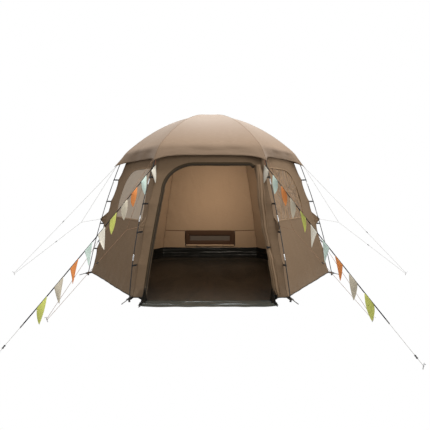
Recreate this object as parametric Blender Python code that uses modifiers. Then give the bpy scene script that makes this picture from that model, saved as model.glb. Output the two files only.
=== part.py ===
"""A six-sided yurt tent: bowed outside poles, hung walls, a domed roof, guy lines and two pennant lines."""

import math

import bmesh
import bpy
from mathutils import Matrix, Vector
from mathutils.geometry import interpolate_bezier

# Driving dimensions in metres. The origin is the middle of the floor on the ground and the door faces -Y.
FOOT_RADIUS = 2.0
GAP = 0.0003
FABRIC = 0.003
HALF_SIDE_COSINE = math.cos(math.pi / 6)
CORNERS = {"front_left": 240, "front_right": 300, "right": 0, "back_right": 60, "back_left": 120, "left": 180}
SIDES = {"front": 270, "front_right": 330, "back_right": 30, "back": 90, "back_left": 150, "front_left": 210}

# Walls: bottom edge, and the corner line that leans in as it rises
WALL_BOTTOM = 0.04
WALL_BASE_RADIUS = 1.947
WALL_LEAN = 0.218
WALL_BOW = 0.0492
WALL_ROWS = 7
CUTTER_MIDDLE = 1.6
CUTTER_DEPTH = 1.2

# Roof: corner rib of a flat dome, then a valance that falls outwards to pointed corners
ROOF_TOP = 2.615
ROOF_DROP = 0.612
ROOF_SCALE = 1.38
ROOF_EYE = 0.004
SHOULDER_RADIUS = 1.385
TIP_RADIUS = 1.52
TIP_HEIGHT = 1.80
HEM_MIDDLE_HEIGHT = 1.875
HEM_POWER = 5
ROOF_COLUMNS = 6
DOME_ROWS = 12
VALANCE_ROWS = 2
FACET_SAG = 0.0012

# Poles: black rods with bright joint sleeves, and clips that hold the wall corners to them
POLE = 0.006
SLEEVE = 0.008
SLEEVE_LENGTH = 0.075
LEG_LEAN = 0.19
LEG_BOW = 0.054
LEG_SPRUNG_OUT = {"front_left": 0.048}
LEG_BOTTOM = 0.062
BEND_START = 1.72
JOINT_RADIUS = 1.33
ROOF_POLE_DEPTH = 0.018
NOTCH_RADII = (1.36, 1.28, 1.20)
NOTCH_CLEAR = 0.002
ROOF_POLE_STEP = 0.09
LEG_POLE_STEP = 0.35
BEND_STEPS = 10
JOINT_STEPS = 2
STEP = 0.0005
LEG_SLEEVES = (0.54, 1.02, 1.50)
ROOF_SLEEVES = (0.93, 0.47)
ROOF_SLEEVE_LENGTH = 0.0705
JOINT_CLEAR = 0.0015
CLIPS = (0.44, 0.85, 1.21, 1.56)
CLIP_RADIUS = 0.011
CLIP_HEIGHT = 0.03
CLIP_STRAP = (0.004, 0.016)

# Hub that the six roof poles meet at
HUB_RADIUS = 0.045
HUB_HEIGHT = 0.024
HUB_MIDDLE = 2.594
HUB_CORE = 0.0315
SOCKET_RADIUS = 0.009
SOCKET_REACH = 0.09
SOCKET_CLEAR = 0.001

# Pole foot, its webbing and the ground peg beside it
FOOT_TOP = 0.06
FOOT_THICK = 0.013
WEBBING = (0.004, 0.024)
WEBBING_CLEAR = 0.004
WEBBING_HEIGHT = 0.05
FOOT_PEG_HEAD = 0.02
FOOT_PEG_TOP = (2.035, 0.034)
FOOT_PEG_POINT = (2.14, 0.0045)
PEG = 0.004

# Doorway in the front wall, as seen from outside
DOOR_LEFT_MARGIN = 0.155
DOOR_RIGHT_MARGIN = 0.125
DOOR_KNEE = 0.7
DOOR_RUN_OUT = -0.01
DOOR_SPRING = 1.38
DOOR_TOP = 1.735
DOOR_ARCH_REACH = 0.42
DOOR_CORNER = 0.04

# Windows in the two walls beside the door
WINDOW_BOTTOM = 0.98
WINDOW_TOP = 1.705
WINDOW_SPRING = 1.20
WINDOW_NEAR_MARGIN = 0.115
WINDOW_FAR_EDGE = -0.44
WINDOW_FAR_FOOT = -0.37
WINDOW_ARCH_END = 0.05
WINDOW_NEAR_TOP = 0.50
ARCH_POWER = 3.0
ROUND = 2.0
ARCH_STEPS = 10
FILM = 0.0015

# Vent low in the back wall, with a mesh panel and its cover rolled down inside
VENT_HALF_WIDTH = 0.50
VENT_BOTTOM = 0.285
VENT_TOP = 0.59
VENT_ROLL = 0.014
VENT_ROLL_CLEAR = 0.001
VENT_TOGGLE_AT = 0.262
VENT_TOGGLE = (0.006, 0.04)

# Groundsheet tray and the flap laid out at the doorway
SHEET = 0.004
TRAY_RADIUS = 1.925
TRAY_TOP_RADIUS = 1.883
TRAY_HEIGHT = 0.25
TRAY_TURN_UP = (0.14, 0.035)
DOOR_GAP = (-0.85, 0.81)
GAP_OUT = 0.1
GAP_IN = 0.15
LIP_JOIN = 0.17
LIP_SIDE = 0.004
LIP_REACH = 1.97

# Door panel gathered at the right of the doorway: across, height and half-width of the bundle
BUNDLE = (
    (0.650, 1.73, 0.030),
    (0.662, 1.55, 0.042),
    (0.672, 1.30, 0.050),
    (0.700, 0.95, 0.042),
    (0.742, 0.66, 0.024),
    (0.775, 0.50, 0.038),
    (0.825, 0.22, 0.052),
    (0.850, 0.09, 0.046),
)
BUNDLE_CLEAR = 0.002
TIE_ROW = 4
TIE_HEIGHT = 0.66
TIE_RADIUS = 0.028
TIE_WIDTH = 0.024
TIE_OFFSET = (-0.002, -0.006)
TIE_SLANT = 0.001
TOGGLE = (0.007, 0.04)
TOGGLE_OFFSET = (-0.01, -0.034)

# Guy lines: a line from each roof tip and a bridle from the tip and a wall tab, to one peg a corner
LINE = 0.002
PEG_TILT = 0.02
PEG_BOTTOM = 0.0015
PEG_HEIGHT = 0.06
LINE_HOLD = 0.6
BRIDLE_HOLD = 0.4
BRIDLE_ASIDE = 0.0015
TIP_RING = (0.004, 0.016, 0.006)
TIP_RING_START = 0.001
LINE_START = 0.006
BRIDLE_START = 0.012
PEG_RADIUS = {"front_left": 3.07, "front_right": 3.07, "right": 3.2, "left": 3.2, "back_left": 3.2, "back_right": 3.2}
PEG_TURN = {"front_left": -3.6, "front_right": 3.6}
BRIDLE = {"front_left": (1.98, 0.889), "front_right": (1.98, 0.889), "right": (2.11, 0.866), "left": (2.11, 0.866),
          "back_left": (2.11, 0.866), "back_right": (2.11, 0.866)}
TAB_TIP = (1.797, 0.92)
TAB_TOP = 1.05
TAB_BOTTOM = 0.83
TAB_ASIDE = 0.012
TAB_INSET = 0.003
TAB_BLUNT = (0.004, 0.003)
SLIDER = (0.012, 0.008, 0.035)
SLIDERS_AT = {"left": (0.52, 0.375), "right": (0.62, 0.44)}
USUAL_SLIDERS_AT = (0.57, 0.41)

# Pennant lines from the front corners to pegs before the tent
PENNANTS = 10
PENNANT_SPACING = 0.264
PENNANT_WIDTH = 0.15
PENNANT_DROP = 0.21
PENNANT_THICK = 0.002
PENNANT_START = Vector((0.770, -1.300, 1.690))
PENNANT_PEG = {"left": Vector((-1.74, -3.55, 0.0)), "right": Vector((1.634, -3.764, 0.0))}
TAPE = (0.003, 0.012)
TAPE_CLEAR = 0.0065
TAPE_STEP = 0.001
TAPE_RUN_OUT = 0.30
PENNANT_HOLD = 0.5
CORD_STOPS = (-0.04, 0.5, 1.0)
PENNANT_SLIDER_BEFORE = 0.085
PENNANT_SAG = 0.02
TAPE_ROWS = 8


def clear_scene():
    for item in list(bpy.data.objects):
        bpy.data.objects.remove(item, do_unlink=True)


def make_collection(name):
    collection = bpy.data.collections.new(name)
    bpy.context.scene.collection.children.link(collection)
    return collection


def make_material(name, colour, roughness, metallic=0.0):
    material = bpy.data.materials.new(name)
    material.use_nodes = True
    shader = material.node_tree.nodes["Principled BSDF"]
    shader.inputs["Base Color"].default_value = (*colour, 1.0)
    shader.inputs["Roughness"].default_value = roughness
    shader.inputs["Metallic"].default_value = metallic
    return material


def make_materials():
    return {
        "canvas": make_material("canvas", (0.24, 0.19, 0.14), 0.9),
        "roof": make_material("roof", (0.30, 0.25, 0.19), 0.9),
        "groundsheet": make_material("groundsheet", (0.02, 0.018, 0.016), 0.6),
        "rod": make_material("rod", (0.02, 0.02, 0.02), 0.45),
        "plastic": make_material("plastic", (0.015, 0.015, 0.015), 0.5),
        "film": make_material("film", (0.45, 0.42, 0.38), 0.15),
        "mesh": make_material("mesh", (0.16, 0.13, 0.10), 0.9),
        "line": make_material("line", (0.55, 0.53, 0.50), 0.8),
        "pennant": make_material("pennant", (0.75, 0.70, 0.60), 0.9),
    }


# Geometry of the tent's surfaces

def polar(radius, angle, height, aside=0.0):
    """Point at a radius and an angle in degrees, moved aside at right angles to the radius."""
    turn = math.radians(angle)
    outward = Vector((math.cos(turn), math.sin(turn), 0.0))
    sideways = Vector((-math.sin(turn), math.cos(turn), 0.0))
    return outward * radius + sideways * aside + Vector((0.0, 0.0, height))


def wall_radius(height):
    return WALL_BASE_RADIUS - WALL_LEAN * height - WALL_BOW * height ** 2


def leg_radius(height, corner):
    """Radius of a leg; a leg that is sprung out bulges most half way up its lean."""
    share = height / BEND_START
    bulge = LEG_SPRUNG_OUT.get(corner, 0.0) * 4 * share * (1 - share)
    return FOOT_RADIUS - LEG_LEAN * height - LEG_BOW * height ** 2 + bulge


def roof_height(radius):
    return ROOF_TOP - ROOF_DROP * (radius / ROOF_SCALE) ** 2


def roof_point(radius, depth):
    """Radius and height of a point at a depth square to the dome's corner rib."""
    slope = math.atan(2 * ROOF_DROP * radius / ROOF_SCALE ** 2)
    return radius - depth * math.sin(slope), roof_height(radius) - depth * math.cos(slope)


def wall_top(depth):
    """Height where a wall surface at a depth from the outside meets the underside of the roof."""
    low, high = 1.9, ROOF_TOP
    while high - low > 1e-6:
        middle = (low + high) / 2
        radius = wall_radius(middle) - depth / HALF_SIDE_COSINE
        slope = math.atan(2 * ROOF_DROP * radius / ROOF_SCALE ** 2)
        underside = roof_height(radius) - (FABRIC + GAP) / math.cos(slope) - FACET_SAG
        if middle < underside:
            low = middle
        else:
            high = middle
    return low


# Mesh tools

def add_object(name, mesh, material, collection):
    item = bpy.data.objects.new(name, mesh)
    collection.objects.link(item)
    mesh.materials.clear()
    mesh.materials.append(material)
    return item


def mesh_from(name, build):
    """Mesh with its faces turned outwards."""
    mesh = bpy.data.meshes.new(name)
    bmesh.ops.recalc_face_normals(build, faces=build.faces)
    if build.calc_volume(signed=True) < 0.0:
        bmesh.ops.reverse_faces(build, faces=build.faces)
    build.to_mesh(mesh)
    build.free()
    return mesh


def sheet_mesh(name, columns, rows, place):
    """Closed sheet; place takes across -1 to 1, up 0 to 1 and depth 0 or 1, and gives the point."""
    build = bmesh.new()
    bmesh.ops.create_grid(build, x_segments=columns, y_segments=rows, size=1.0)
    skin = bmesh.ops.extrude_face_region(build, geom=build.faces[:], use_keep_orig=True)
    lifted = [part for part in skin["geom"] if isinstance(part, bmesh.types.BMVert)]
    bmesh.ops.translate(build, verts=lifted, vec=(0.0, 0.0, 1.0))
    for vert in build.verts:
        vert.co = place(vert.co.x, (vert.co.y + 1) / 2, vert.co.z)
    return mesh_from(name, build)


def curve_to_mesh(curve, matrix):
    """Closed mesh of a filled curve, in world coordinates."""
    holder = bpy.data.objects.new(curve.name, curve)
    bpy.context.scene.collection.objects.link(holder)
    bpy.context.view_layer.update()
    evaluated = holder.evaluated_get(bpy.context.evaluated_depsgraph_get())
    mesh = bpy.data.meshes.new_from_object(evaluated)
    build = bmesh.new()
    build.from_mesh(mesh)
    bmesh.ops.remove_doubles(build, verts=build.verts, dist=0.00001)
    bmesh.ops.transform(build, matrix=matrix, verts=build.verts)
    bpy.data.meshes.remove(mesh)
    bpy.data.objects.remove(holder, do_unlink=True)
    bpy.data.curves.remove(curve)
    return mesh_from("solid", build)


def tube(points, radius, resolution=2, radii=None):
    """Round bar along points, with flat ends; the tilt keeps its edges off the planes of other pieces."""
    curve = bpy.data.curves.new("tube", "CURVE")
    curve.dimensions = "3D"
    curve.bevel_depth = radius
    curve.bevel_resolution = resolution
    curve.use_fill_caps = True
    spline = curve.splines.new("POLY")
    spline.points.add(len(points) - 1)
    for index, point in enumerate(points):
        spline.points[index].co = (*point, 1.0)
        spline.points[index].tilt = 0.2
        if radii:
            spline.points[index].radius = radii[index] / radius
    return curve_to_mesh(curve, Matrix.Identity(4))


def plate(outline, thickness, matrix):
    """Flat outline given a thickness about its own plane, then placed by a matrix."""
    curve = bpy.data.curves.new("plate", "CURVE")
    curve.dimensions = "2D"
    curve.fill_mode = "BOTH"
    curve.extrude = thickness / 2
    spline = curve.splines.new("POLY")
    spline.points.add(len(outline) - 1)
    for index, (across, up) in enumerate(outline):
        spline.points[index].co = (across, up, 0.0, 1.0)
    spline.use_cyclic_u = True
    return curve_to_mesh(curve, matrix)


def frame_matrix(origin, across, up):
    """Matrix whose first two columns are the across and up directions."""
    across = across.normalized()
    out = across.cross(up).normalized()
    up = out.cross(across)
    matrix = Matrix((across, up, out)).transposed().to_4x4()
    matrix.translation = origin
    return matrix


def bar(start, end, width, height):
    """Square bar between two points; width is level, height is square to it."""
    along = end - start
    side = along.cross(Vector((0.0, 0.0, 1.0)))
    build = bmesh.new()
    bmesh.ops.create_cube(build, size=1.0)
    bmesh.ops.scale(build, vec=(along.length, height, width), verts=build.verts)
    up = side.cross(along)
    matrix = frame_matrix((start + end) / 2, along, up)
    bmesh.ops.transform(build, matrix=matrix, verts=build.verts)
    return mesh_from("bar", build)


def combined(meshes, operation="UNION"):
    """One mesh from several: the first is the base, and the others are joined to it or cut from it."""
    base = bpy.data.objects.new("base", meshes[0])
    bpy.context.scene.collection.objects.link(base)
    tools = []
    for mesh in meshes[1:]:
        tool = bpy.data.objects.new("tool", mesh)
        bpy.context.scene.collection.objects.link(tool)
        modifier = base.modifiers.new("shape", "BOOLEAN")
        modifier.operation = operation
        modifier.solver = "EXACT"
        modifier.object = tool
        tools.append(tool)
    bpy.context.view_layer.update()
    evaluated = base.evaluated_get(bpy.context.evaluated_depsgraph_get())
    result = bpy.data.meshes.new_from_object(evaluated)
    for item in (base, *tools):
        bpy.data.objects.remove(item, do_unlink=True)
    return result


def fuse(name, meshes, material, parts, operation="UNION"):
    return add_object(name, combined(meshes, operation), material, parts)


def shade_round(item):
    item.data.shade_smooth()
    item.data.set_sharp_from_angle(angle=math.radians(35))


# Walls, doorway, windows and vent

def side_matrix(side):
    """Frame of one side: across to the right seen from outside, up, and out."""
    turn = math.radians(SIDES[side])
    across = Vector((-math.sin(turn), math.cos(turn), 0.0))
    return frame_matrix(Vector((0.0, 0.0, 0.0)), across, Vector((0.0, 0.0, 1.0)))


def wall_slab(side, first, last):
    """Sheet that follows one wall, from depth first to depth last behind its outer face."""
    matrix = side_matrix(side)

    def place(across, up, depth):
        inward = first + (last - first) * depth
        height = WALL_BOTTOM + (wall_top(inward) - WALL_BOTTOM) * up
        radius = wall_radius(height) - inward / HALF_SIDE_COSINE
        half = radius / 2 - GAP
        return matrix @ Vector((across * half, height, radius * HALF_SIDE_COSINE))

    return sheet_mesh("wall", 1, WALL_ROWS, place)


def side_cutter(side, outline):
    """Outline carried out through one wall."""
    matrix = side_matrix(side) @ Matrix.Translation((0.0, 0.0, CUTTER_MIDDLE))
    return plate(outline, CUTTER_DEPTH, matrix)


def quarter_arch(centre, reach, rise, power):
    """Points from the spring line up to the crown of a rounded quarter."""
    points = []
    for step in range(ARCH_STEPS + 1):
        turn = math.pi / 2 * step / ARCH_STEPS
        across = math.cos(turn) ** (2 / power)
        up = math.sin(turn) ** (2 / power)
        points.append((centre[0] - reach * across, centre[1] + rise * up))
    return points


def door_outline():
    """Doorway with a round left shoulder and a nearly square right one, where the door is drawn aside."""
    def left(height):
        return DOOR_LEFT_MARGIN - wall_radius(height) / 2, height

    def right(height):
        return wall_radius(height) / 2 - DOOR_RIGHT_MARGIN, height

    centre = (DOOR_ARCH_REACH + left(DOOR_SPRING)[0], DOOR_SPRING)
    arch = quarter_arch(centre, DOOR_ARCH_REACH, DOOR_TOP - DOOR_SPRING, ROUND)
    right_top = [(right(DOOR_TOP)[0] - DOOR_CORNER, DOOR_TOP), right(DOOR_TOP - DOOR_CORNER)]
    right_side = [right(height) for height in (DOOR_SPRING, DOOR_KNEE, DOOR_RUN_OUT)]
    return [left(DOOR_RUN_OUT), left(DOOR_KNEE)] + arch + right_top + right_side


def window_outline(mirror, inset=0.0):
    """D-shaped window: the round corner lies away from the door."""
    near_low = wall_radius(WINDOW_BOTTOM) / 2 - WINDOW_NEAR_MARGIN - inset
    reach = WINDOW_ARCH_END - WINDOW_FAR_EDGE - inset
    rise = WINDOW_TOP - WINDOW_SPRING - inset
    arch = quarter_arch((WINDOW_ARCH_END, WINDOW_SPRING), reach, rise, ARCH_POWER)
    points = [(WINDOW_FAR_FOOT + inset, WINDOW_BOTTOM + inset)] + arch
    points += [(WINDOW_NEAR_TOP - inset, WINDOW_TOP - inset), (near_low, WINDOW_BOTTOM + inset)]
    return [(mirror * across, up) for across, up in points]


def vent_outline(inset=0.0):
    half = VENT_HALF_WIDTH - inset
    low = VENT_BOTTOM + inset
    high = VENT_TOP - inset
    return [(-half, low), (-half, high), (half, high), (half, low)]


def wall_cutters(side):
    """Holes of one wall, and the notches that let the roof poles out at its top corners."""
    cutters = []
    if side == "front":
        cutters.append(side_cutter(side, door_outline()))
    if side == "front_left":
        cutters.append(side_cutter(side, window_outline(1)))
    if side == "front_right":
        cutters.append(side_cutter(side, window_outline(-1)))
    if side == "back":
        cutters.append(side_cutter(side, vent_outline()))
    for turn in (-30, 30):
        path = [roof_pole_point(radius, SIDES[side] + turn) for radius in NOTCH_RADII]
        cutters.append(tube(path, POLE + NOTCH_CLEAR))
    return cutters


def make_walls(parts, materials):
    for side in SIDES:
        meshes = [wall_slab(side, 0.0, FABRIC)] + wall_cutters(side)
        fuse(side + "_wall", meshes, materials["canvas"], parts, "DIFFERENCE")


def make_panel_in_wall(name, side, outline, material, parts):
    """Thin panel that fills a hole in a wall, in the middle of the wall's thickness."""
    first = (FABRIC - FILM) / 2
    meshes = [wall_slab(side, first, first + FILM), side_cutter(side, outline)]
    return fuse(name, meshes, material, parts, "INTERSECT")


def make_windows(parts, materials):
    make_panel_in_wall("window_left", "front_left", window_outline(1, GAP * 2), materials["film"], parts)
    make_panel_in_wall("window_right", "front_right", window_outline(-1, GAP * 2), materials["film"], parts)
    make_panel_in_wall("back_vent_mesh", "back", vent_outline(GAP * 2), materials["mesh"], parts)


def make_vent_cover(parts, materials):
    """Cover of the vent, rolled down along its lower edge inside, with two toggles."""
    middle = wall_radius(VENT_BOTTOM) * HALF_SIDE_COSINE - FABRIC - VENT_ROLL_CLEAR - VENT_ROLL
    ends = [Vector((across, middle, VENT_BOTTOM)) for across in (-VENT_HALF_WIDTH, VENT_HALF_WIDTH)]
    meshes = [tube(ends, VENT_ROLL)]
    radius, length = VENT_TOGGLE
    for across in (-VENT_TOGGLE_AT, VENT_TOGGLE_AT):
        low = Vector((across, middle - VENT_ROLL, VENT_BOTTOM - length / 2))
        meshes.append(tube([low, low + Vector((0.0, 0.0, length))], radius, 1))
    fuse("back_vent_cover", meshes, materials["canvas"], parts)


# Roof

def hem_height(across):
    return HEM_MIDDLE_HEIGHT - (HEM_MIDDLE_HEIGHT - TIP_HEIGHT) * abs(across) ** HEM_POWER


def roof_slab(side):
    """One roof panel: a dome gore and the valance below it."""
    matrix = side_matrix(side)
    rows = DOME_ROWS + VALANCE_ROWS
    valance_slope = (TIP_RADIUS - SHOULDER_RADIUS) / (roof_height(SHOULDER_RADIUS) - TIP_HEIGHT)

    def place(column, up, depth):
        across = math.copysign(1 - (1 - abs(column)) ** 1.5, column)
        row = round(up * rows)
        if row <= DOME_ROWS:
            share = (row / DOME_ROWS) ** 0.8
            radius = ROOF_EYE + (SHOULDER_RADIUS - ROOF_EYE) * share
            if row == DOME_ROWS and depth:
                drop = FABRIC / HALF_SIDE_COSINE
                radius, height = SHOULDER_RADIUS - drop, roof_height(SHOULDER_RADIUS) - FABRIC / 3
            else:
                radius, height = roof_point(radius, FABRIC * depth)
        else:
            share = (row - DOME_ROWS) / VALANCE_ROWS
            top = roof_height(SHOULDER_RADIUS)
            height = top + (hem_height(across) - top) * share
            radius = SHOULDER_RADIUS + (top - height) * valance_slope - depth * FABRIC / HALF_SIDE_COSINE
        half = radius / 2 - GAP
        return matrix @ Vector((across * half, height, radius * HALF_SIDE_COSINE))

    return sheet_mesh("roof", ROOF_COLUMNS, rows, place)


def make_roof(parts, materials):
    for side in SIDES:
        add_object("roof_panel_" + side, roof_slab(side), materials["roof"], parts)


# Poles

def roof_pole_point(radius, angle):
    along, height = roof_point(radius, ROOF_POLE_DEPTH)
    return polar(along, angle, height)


def leg_point(height, corner):
    return polar(leg_radius(height, corner), CORNERS[corner], height)


def stepped(first, last, spacing, collars):
    """Places and radii along a rod whose collars stand proud of it; a collar is middle, length and radius."""
    stops = [(first, POLE)]
    for middle, length, radius in sorted(collars):
        low, high = middle - length / 2, middle + length / 2
        stops += between(stops[-1][0], low - STEP, spacing)
        stops += [(low - STEP, POLE), (low, radius), (high, radius), (high + STEP, POLE)]
    return stops + between(stops[-1][0], last, spacing) + [(last, POLE)]


def between(low, high, spacing):
    """Plain stops that split a bare stretch evenly, so that the rod keeps its curve."""
    pieces = math.ceil((high - low) / spacing)
    return [(low + (high - low) * piece / pieces, POLE) for piece in range(1, pieces)]


def shoulder_bend(corner):
    """Points round the shoulder from the top of the lean to the joint with the roof pole."""
    angle = CORNERS[corner]
    start = leg_point(BEND_START, corner)
    end = roof_pole_point(JOINT_RADIUS, angle)
    start_slope = LEG_LEAN + 2 * LEG_BOW * BEND_START + 4 * LEG_SPRUNG_OUT.get(corner, 0.0) / BEND_START
    end_slope = 2 * ROOF_DROP * JOINT_RADIUS / ROOF_SCALE ** 2
    start_way = polar(-start_slope, angle, 1.0).normalized()
    end_way = polar(-1.0, angle, end_slope).normalized()
    reach = (end - start).length / 3
    return list(interpolate_bezier(start, start + start_way * reach, end - end_way * reach, end, BEND_STEPS))


def make_leg_pole(corner, parts, materials):
    angle = CORNERS[corner]
    collars = [(height, SLEEVE_LENGTH, SLEEVE) for height in LEG_SLEEVES]
    collars += [(height, CLIP_HEIGHT, CLIP_RADIUS) for height in CLIPS]
    stops = stepped(LEG_BOTTOM, BEND_START, LEG_POLE_STEP, collars)
    points = [leg_point(height, corner) for height, radius in stops]
    radii = [radius for height, radius in stops]
    bend = shoulder_bend(corner)
    joint = len(bend) - 1 - JOINT_STEPS
    points += bend[1:joint + 1]
    radii += [POLE] * joint
    points += [bend[joint].lerp(bend[joint + 1], STEP * 20)] + bend[joint + 1:]
    radii += [SLEEVE] * (JOINT_STEPS + 1)
    meshes = [tube(points, POLE, 2, radii)]
    width, tall = CLIP_STRAP
    for height in CLIPS:
        wall = polar(wall_radius(height - tall / 2) + GAP, angle, height)
        meshes.append(bar(leg_point(height, corner), wall, width, tall))
    shade_round(fuse("leg_pole_" + corner, meshes, materials["rod"], parts))


def make_roof_pole(corner, parts, materials):
    angle = CORNERS[corner]
    collars = [(radius, ROOF_SLEEVE_LENGTH, SLEEVE) for radius in ROOF_SLEEVES]
    stops = stepped(SOCKET_REACH + SOCKET_CLEAR, JOINT_RADIUS - JOINT_CLEAR, ROOF_POLE_STEP, collars)
    points = [roof_pole_point(radius, angle) for radius, thick in stops]
    rod = tube(points, POLE, 2, [thick for radius, thick in stops])
    shade_round(add_object("roof_pole_" + corner, rod, materials["rod"], parts))


def make_hub(parts, materials):
    low = Vector((0.0, 0.0, HUB_MIDDLE - HUB_HEIGHT / 2))
    high = Vector((0.0, 0.0, HUB_MIDDLE + HUB_HEIGHT / 2))
    meshes = [tube([low, high], HUB_RADIUS, 6)]
    for angle in CORNERS.values():
        inner = polar(HUB_CORE, angle, HUB_MIDDLE + SOCKET_CLEAR)
        meshes.append(tube([inner, roof_pole_point(SOCKET_REACH, angle)], SOCKET_RADIUS))
    shade_round(fuse("roof_hub", meshes, materials["plastic"], parts))


def make_corner_foot(corner, parts, materials):
    """Foot under a pole, webbing to the wall corner, and the peg that holds the webbing down."""
    angle = CORNERS[corner]
    middle = leg_radius(FOOT_TOP / 2, corner)
    meshes = [tube([polar(middle, angle, 0.0), polar(middle, angle, FOOT_TOP)], FOOT_THICK)]
    wall = polar(wall_radius(WALL_BOTTOM) + WEBBING_CLEAR, angle, WEBBING_HEIGHT)
    peg_top = polar(FOOT_PEG_TOP[0], angle, FOOT_PEG_TOP[1])
    meshes.append(bar(wall, peg_top, WEBBING[0], WEBBING[1]))
    peg_point = polar(FOOT_PEG_POINT[0], angle, FOOT_PEG_POINT[1])
    back = (peg_top - peg_point).normalized() * FOOT_PEG_HEAD
    meshes.append(tube([peg_point, peg_top + back], PEG, 1))
    shade_round(fuse("corner_foot_" + corner, meshes, materials["plastic"], parts))


# Guy lines

def make_guy_set(corner, parts, materials):
    """Line from the roof tip, bridle with a wall tab, sliders and the peg of one corner."""
    angle = CORNERS[corner]
    peg_angle = angle + PEG_TURN.get(corner, 0.0)
    away = PEG_RADIUS[corner]
    peg_foot = polar(away, peg_angle, PEG_BOTTOM)
    peg_head = polar(away + PEG_TILT, peg_angle, PEG_HEIGHT)
    line_end = peg_foot.lerp(peg_head, LINE_HOLD)
    bridle_end = peg_foot.lerp(peg_head, BRIDLE_HOLD)
    tip = polar(TIP_RADIUS, angle, TIP_HEIGHT)
    fall = (line_end - tip).normalized()
    ring_top = tip + fall * TIP_RING_START
    ring_low = ring_top + fall * TIP_RING[1]
    line_start = tip + fall * LINE_START
    bridle_start = tip + fall * BRIDLE_START + polar(0.0, angle, 0.0, BRIDLE_ASIDE)
    fork_radius, fork_height = BRIDLE[corner]
    fork = polar(fork_radius, (angle + peg_angle) / 2, fork_height, BRIDLE_ASIDE)
    tab_aside = math.copysign(TAB_ASIDE, PEG_TURN.get(corner, 0.0))
    tab_tip = polar(TAB_TIP[0], angle, TAB_TIP[1], tab_aside)
    meshes = [tube([line_start, line_end], LINE, 1)]
    meshes.append(bar(ring_top, ring_low, TIP_RING[0], TIP_RING[2]))
    meshes.append(tube([bridle_start, fork, bridle_end], LINE, 1))
    meshes.append(tube([tab_tip, fork], LINE, 1))
    meshes.append(tube([peg_foot, peg_head], PEG, 1))
    tab_frame = frame_matrix(polar(0.0, angle, 0.0, tab_aside), polar(1.0, angle, 0.0), Vector((0.0, 0.0, 1.0)))
    outline = [
        (wall_radius(TAB_BOTTOM) - TAB_INSET, TAB_BOTTOM),
        (wall_radius(TAB_TOP) - TAB_INSET, TAB_TOP),
        (TAB_TIP[0] + TAB_BLUNT[0], TAB_TIP[1] + TAB_BLUNT[1]),
        (TAB_TIP[0] + TAB_BLUNT[0], TAB_TIP[1] - TAB_BLUNT[1]),
    ]
    meshes.append(plate(outline, FABRIC, tab_frame))
    shares = SLIDERS_AT.get(corner, USUAL_SLIDERS_AT)
    for start, end, share in ((line_start, line_end, shares[0]), (fork, bridle_end, shares[1])):
        middle = start.lerp(end, share)
        way = (end - start).normalized() * SLIDER[2] / 2
        meshes.append(bar(middle - way, middle + way, SLIDER[0], SLIDER[1]))
    shade_round(fuse("guy_lines_" + corner, meshes, materials["line"], parts))


# Pennant lines

def wall_distance(point, outward):
    """Level distance of a point from the wall that faces outward."""
    return point.dot(outward) - wall_radius(point.z) * HALF_SIDE_COSINE


def make_pennant_line(name, mirror, parts, materials):
    """Tape with pennants, the cord that carries on to its peg, and a slider."""
    start = Vector((PENNANT_START.x * mirror, PENNANT_START.y, PENNANT_START.z))
    peg = PENNANT_PEG[name]
    peg_foot = peg + Vector((0.0, 0.0, PEG_BOTTOM))
    peg_head = peg + Vector((0.0, -PEG_TILT, PEG_HEIGHT))
    peg_hold = peg_foot.lerp(peg_head, PENNANT_HOLD)
    way = (peg_hold - start).normalized()
    length = (peg_hold - start).length

    def route(distance):
        share = min(max(distance / length, 0.0), 1.0)
        return start + way * distance - Vector((0.0, 0.0, 4 * PENNANT_SAG * share * (1 - share)))

    wall_out = polar(1.0, SIDES["front_" + name], 0.0)
    run_in = 0.0
    while wall_distance(start - way * run_in, wall_out) > TAPE_CLEAR:
        run_in += TAPE_STEP
    tape_end = PENNANT_SPACING * (PENNANTS - 1) + TAPE_RUN_OUT
    side = way.cross(Vector((0.0, 0.0, 1.0))).normalized()
    over = side.cross(way)

    def tape_place(across, along, depth):
        distance = -run_in + (tape_end + run_in) * along
        return route(distance) + side * across * TAPE[0] / 2 + over * (depth - 0.5) * TAPE[1]

    meshes = [sheet_mesh("tape", 1, TAPE_ROWS, tape_place)]
    across = Vector((way.x, way.y, 0.0))
    for index in range(PENNANTS):
        middle = PENNANT_SPACING * index
        ends = [route(middle - PENNANT_WIDTH / 2), route(middle + PENNANT_WIDTH / 2)]
        tip = route(middle) - Vector((0.0, 0.0, PENNANT_DROP))
        matrix = frame_matrix(route(middle), across, Vector((0.0, 0.0, 1.0)))
        to_plane = matrix.inverted()
        outline = [(point.x, point.y) for point in (to_plane @ place for place in (*ends, tip))]
        meshes.append(plate(outline, PENNANT_THICK, matrix))
    cord = [route(tape_end + (length - tape_end) * share) for share in CORD_STOPS]
    meshes.append(tube(cord, LINE, 1))
    slider = length - PENNANT_SLIDER_BEFORE
    meshes.append(bar(route(slider - SLIDER[2] / 2), route(slider + SLIDER[2] / 2), SLIDER[0], SLIDER[1]))
    meshes.append(tube([peg_foot, peg_head], PEG, 1))
    fuse("pennant_line_" + name, meshes, materials["pennant"], parts)


# Groundsheet and door

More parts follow.
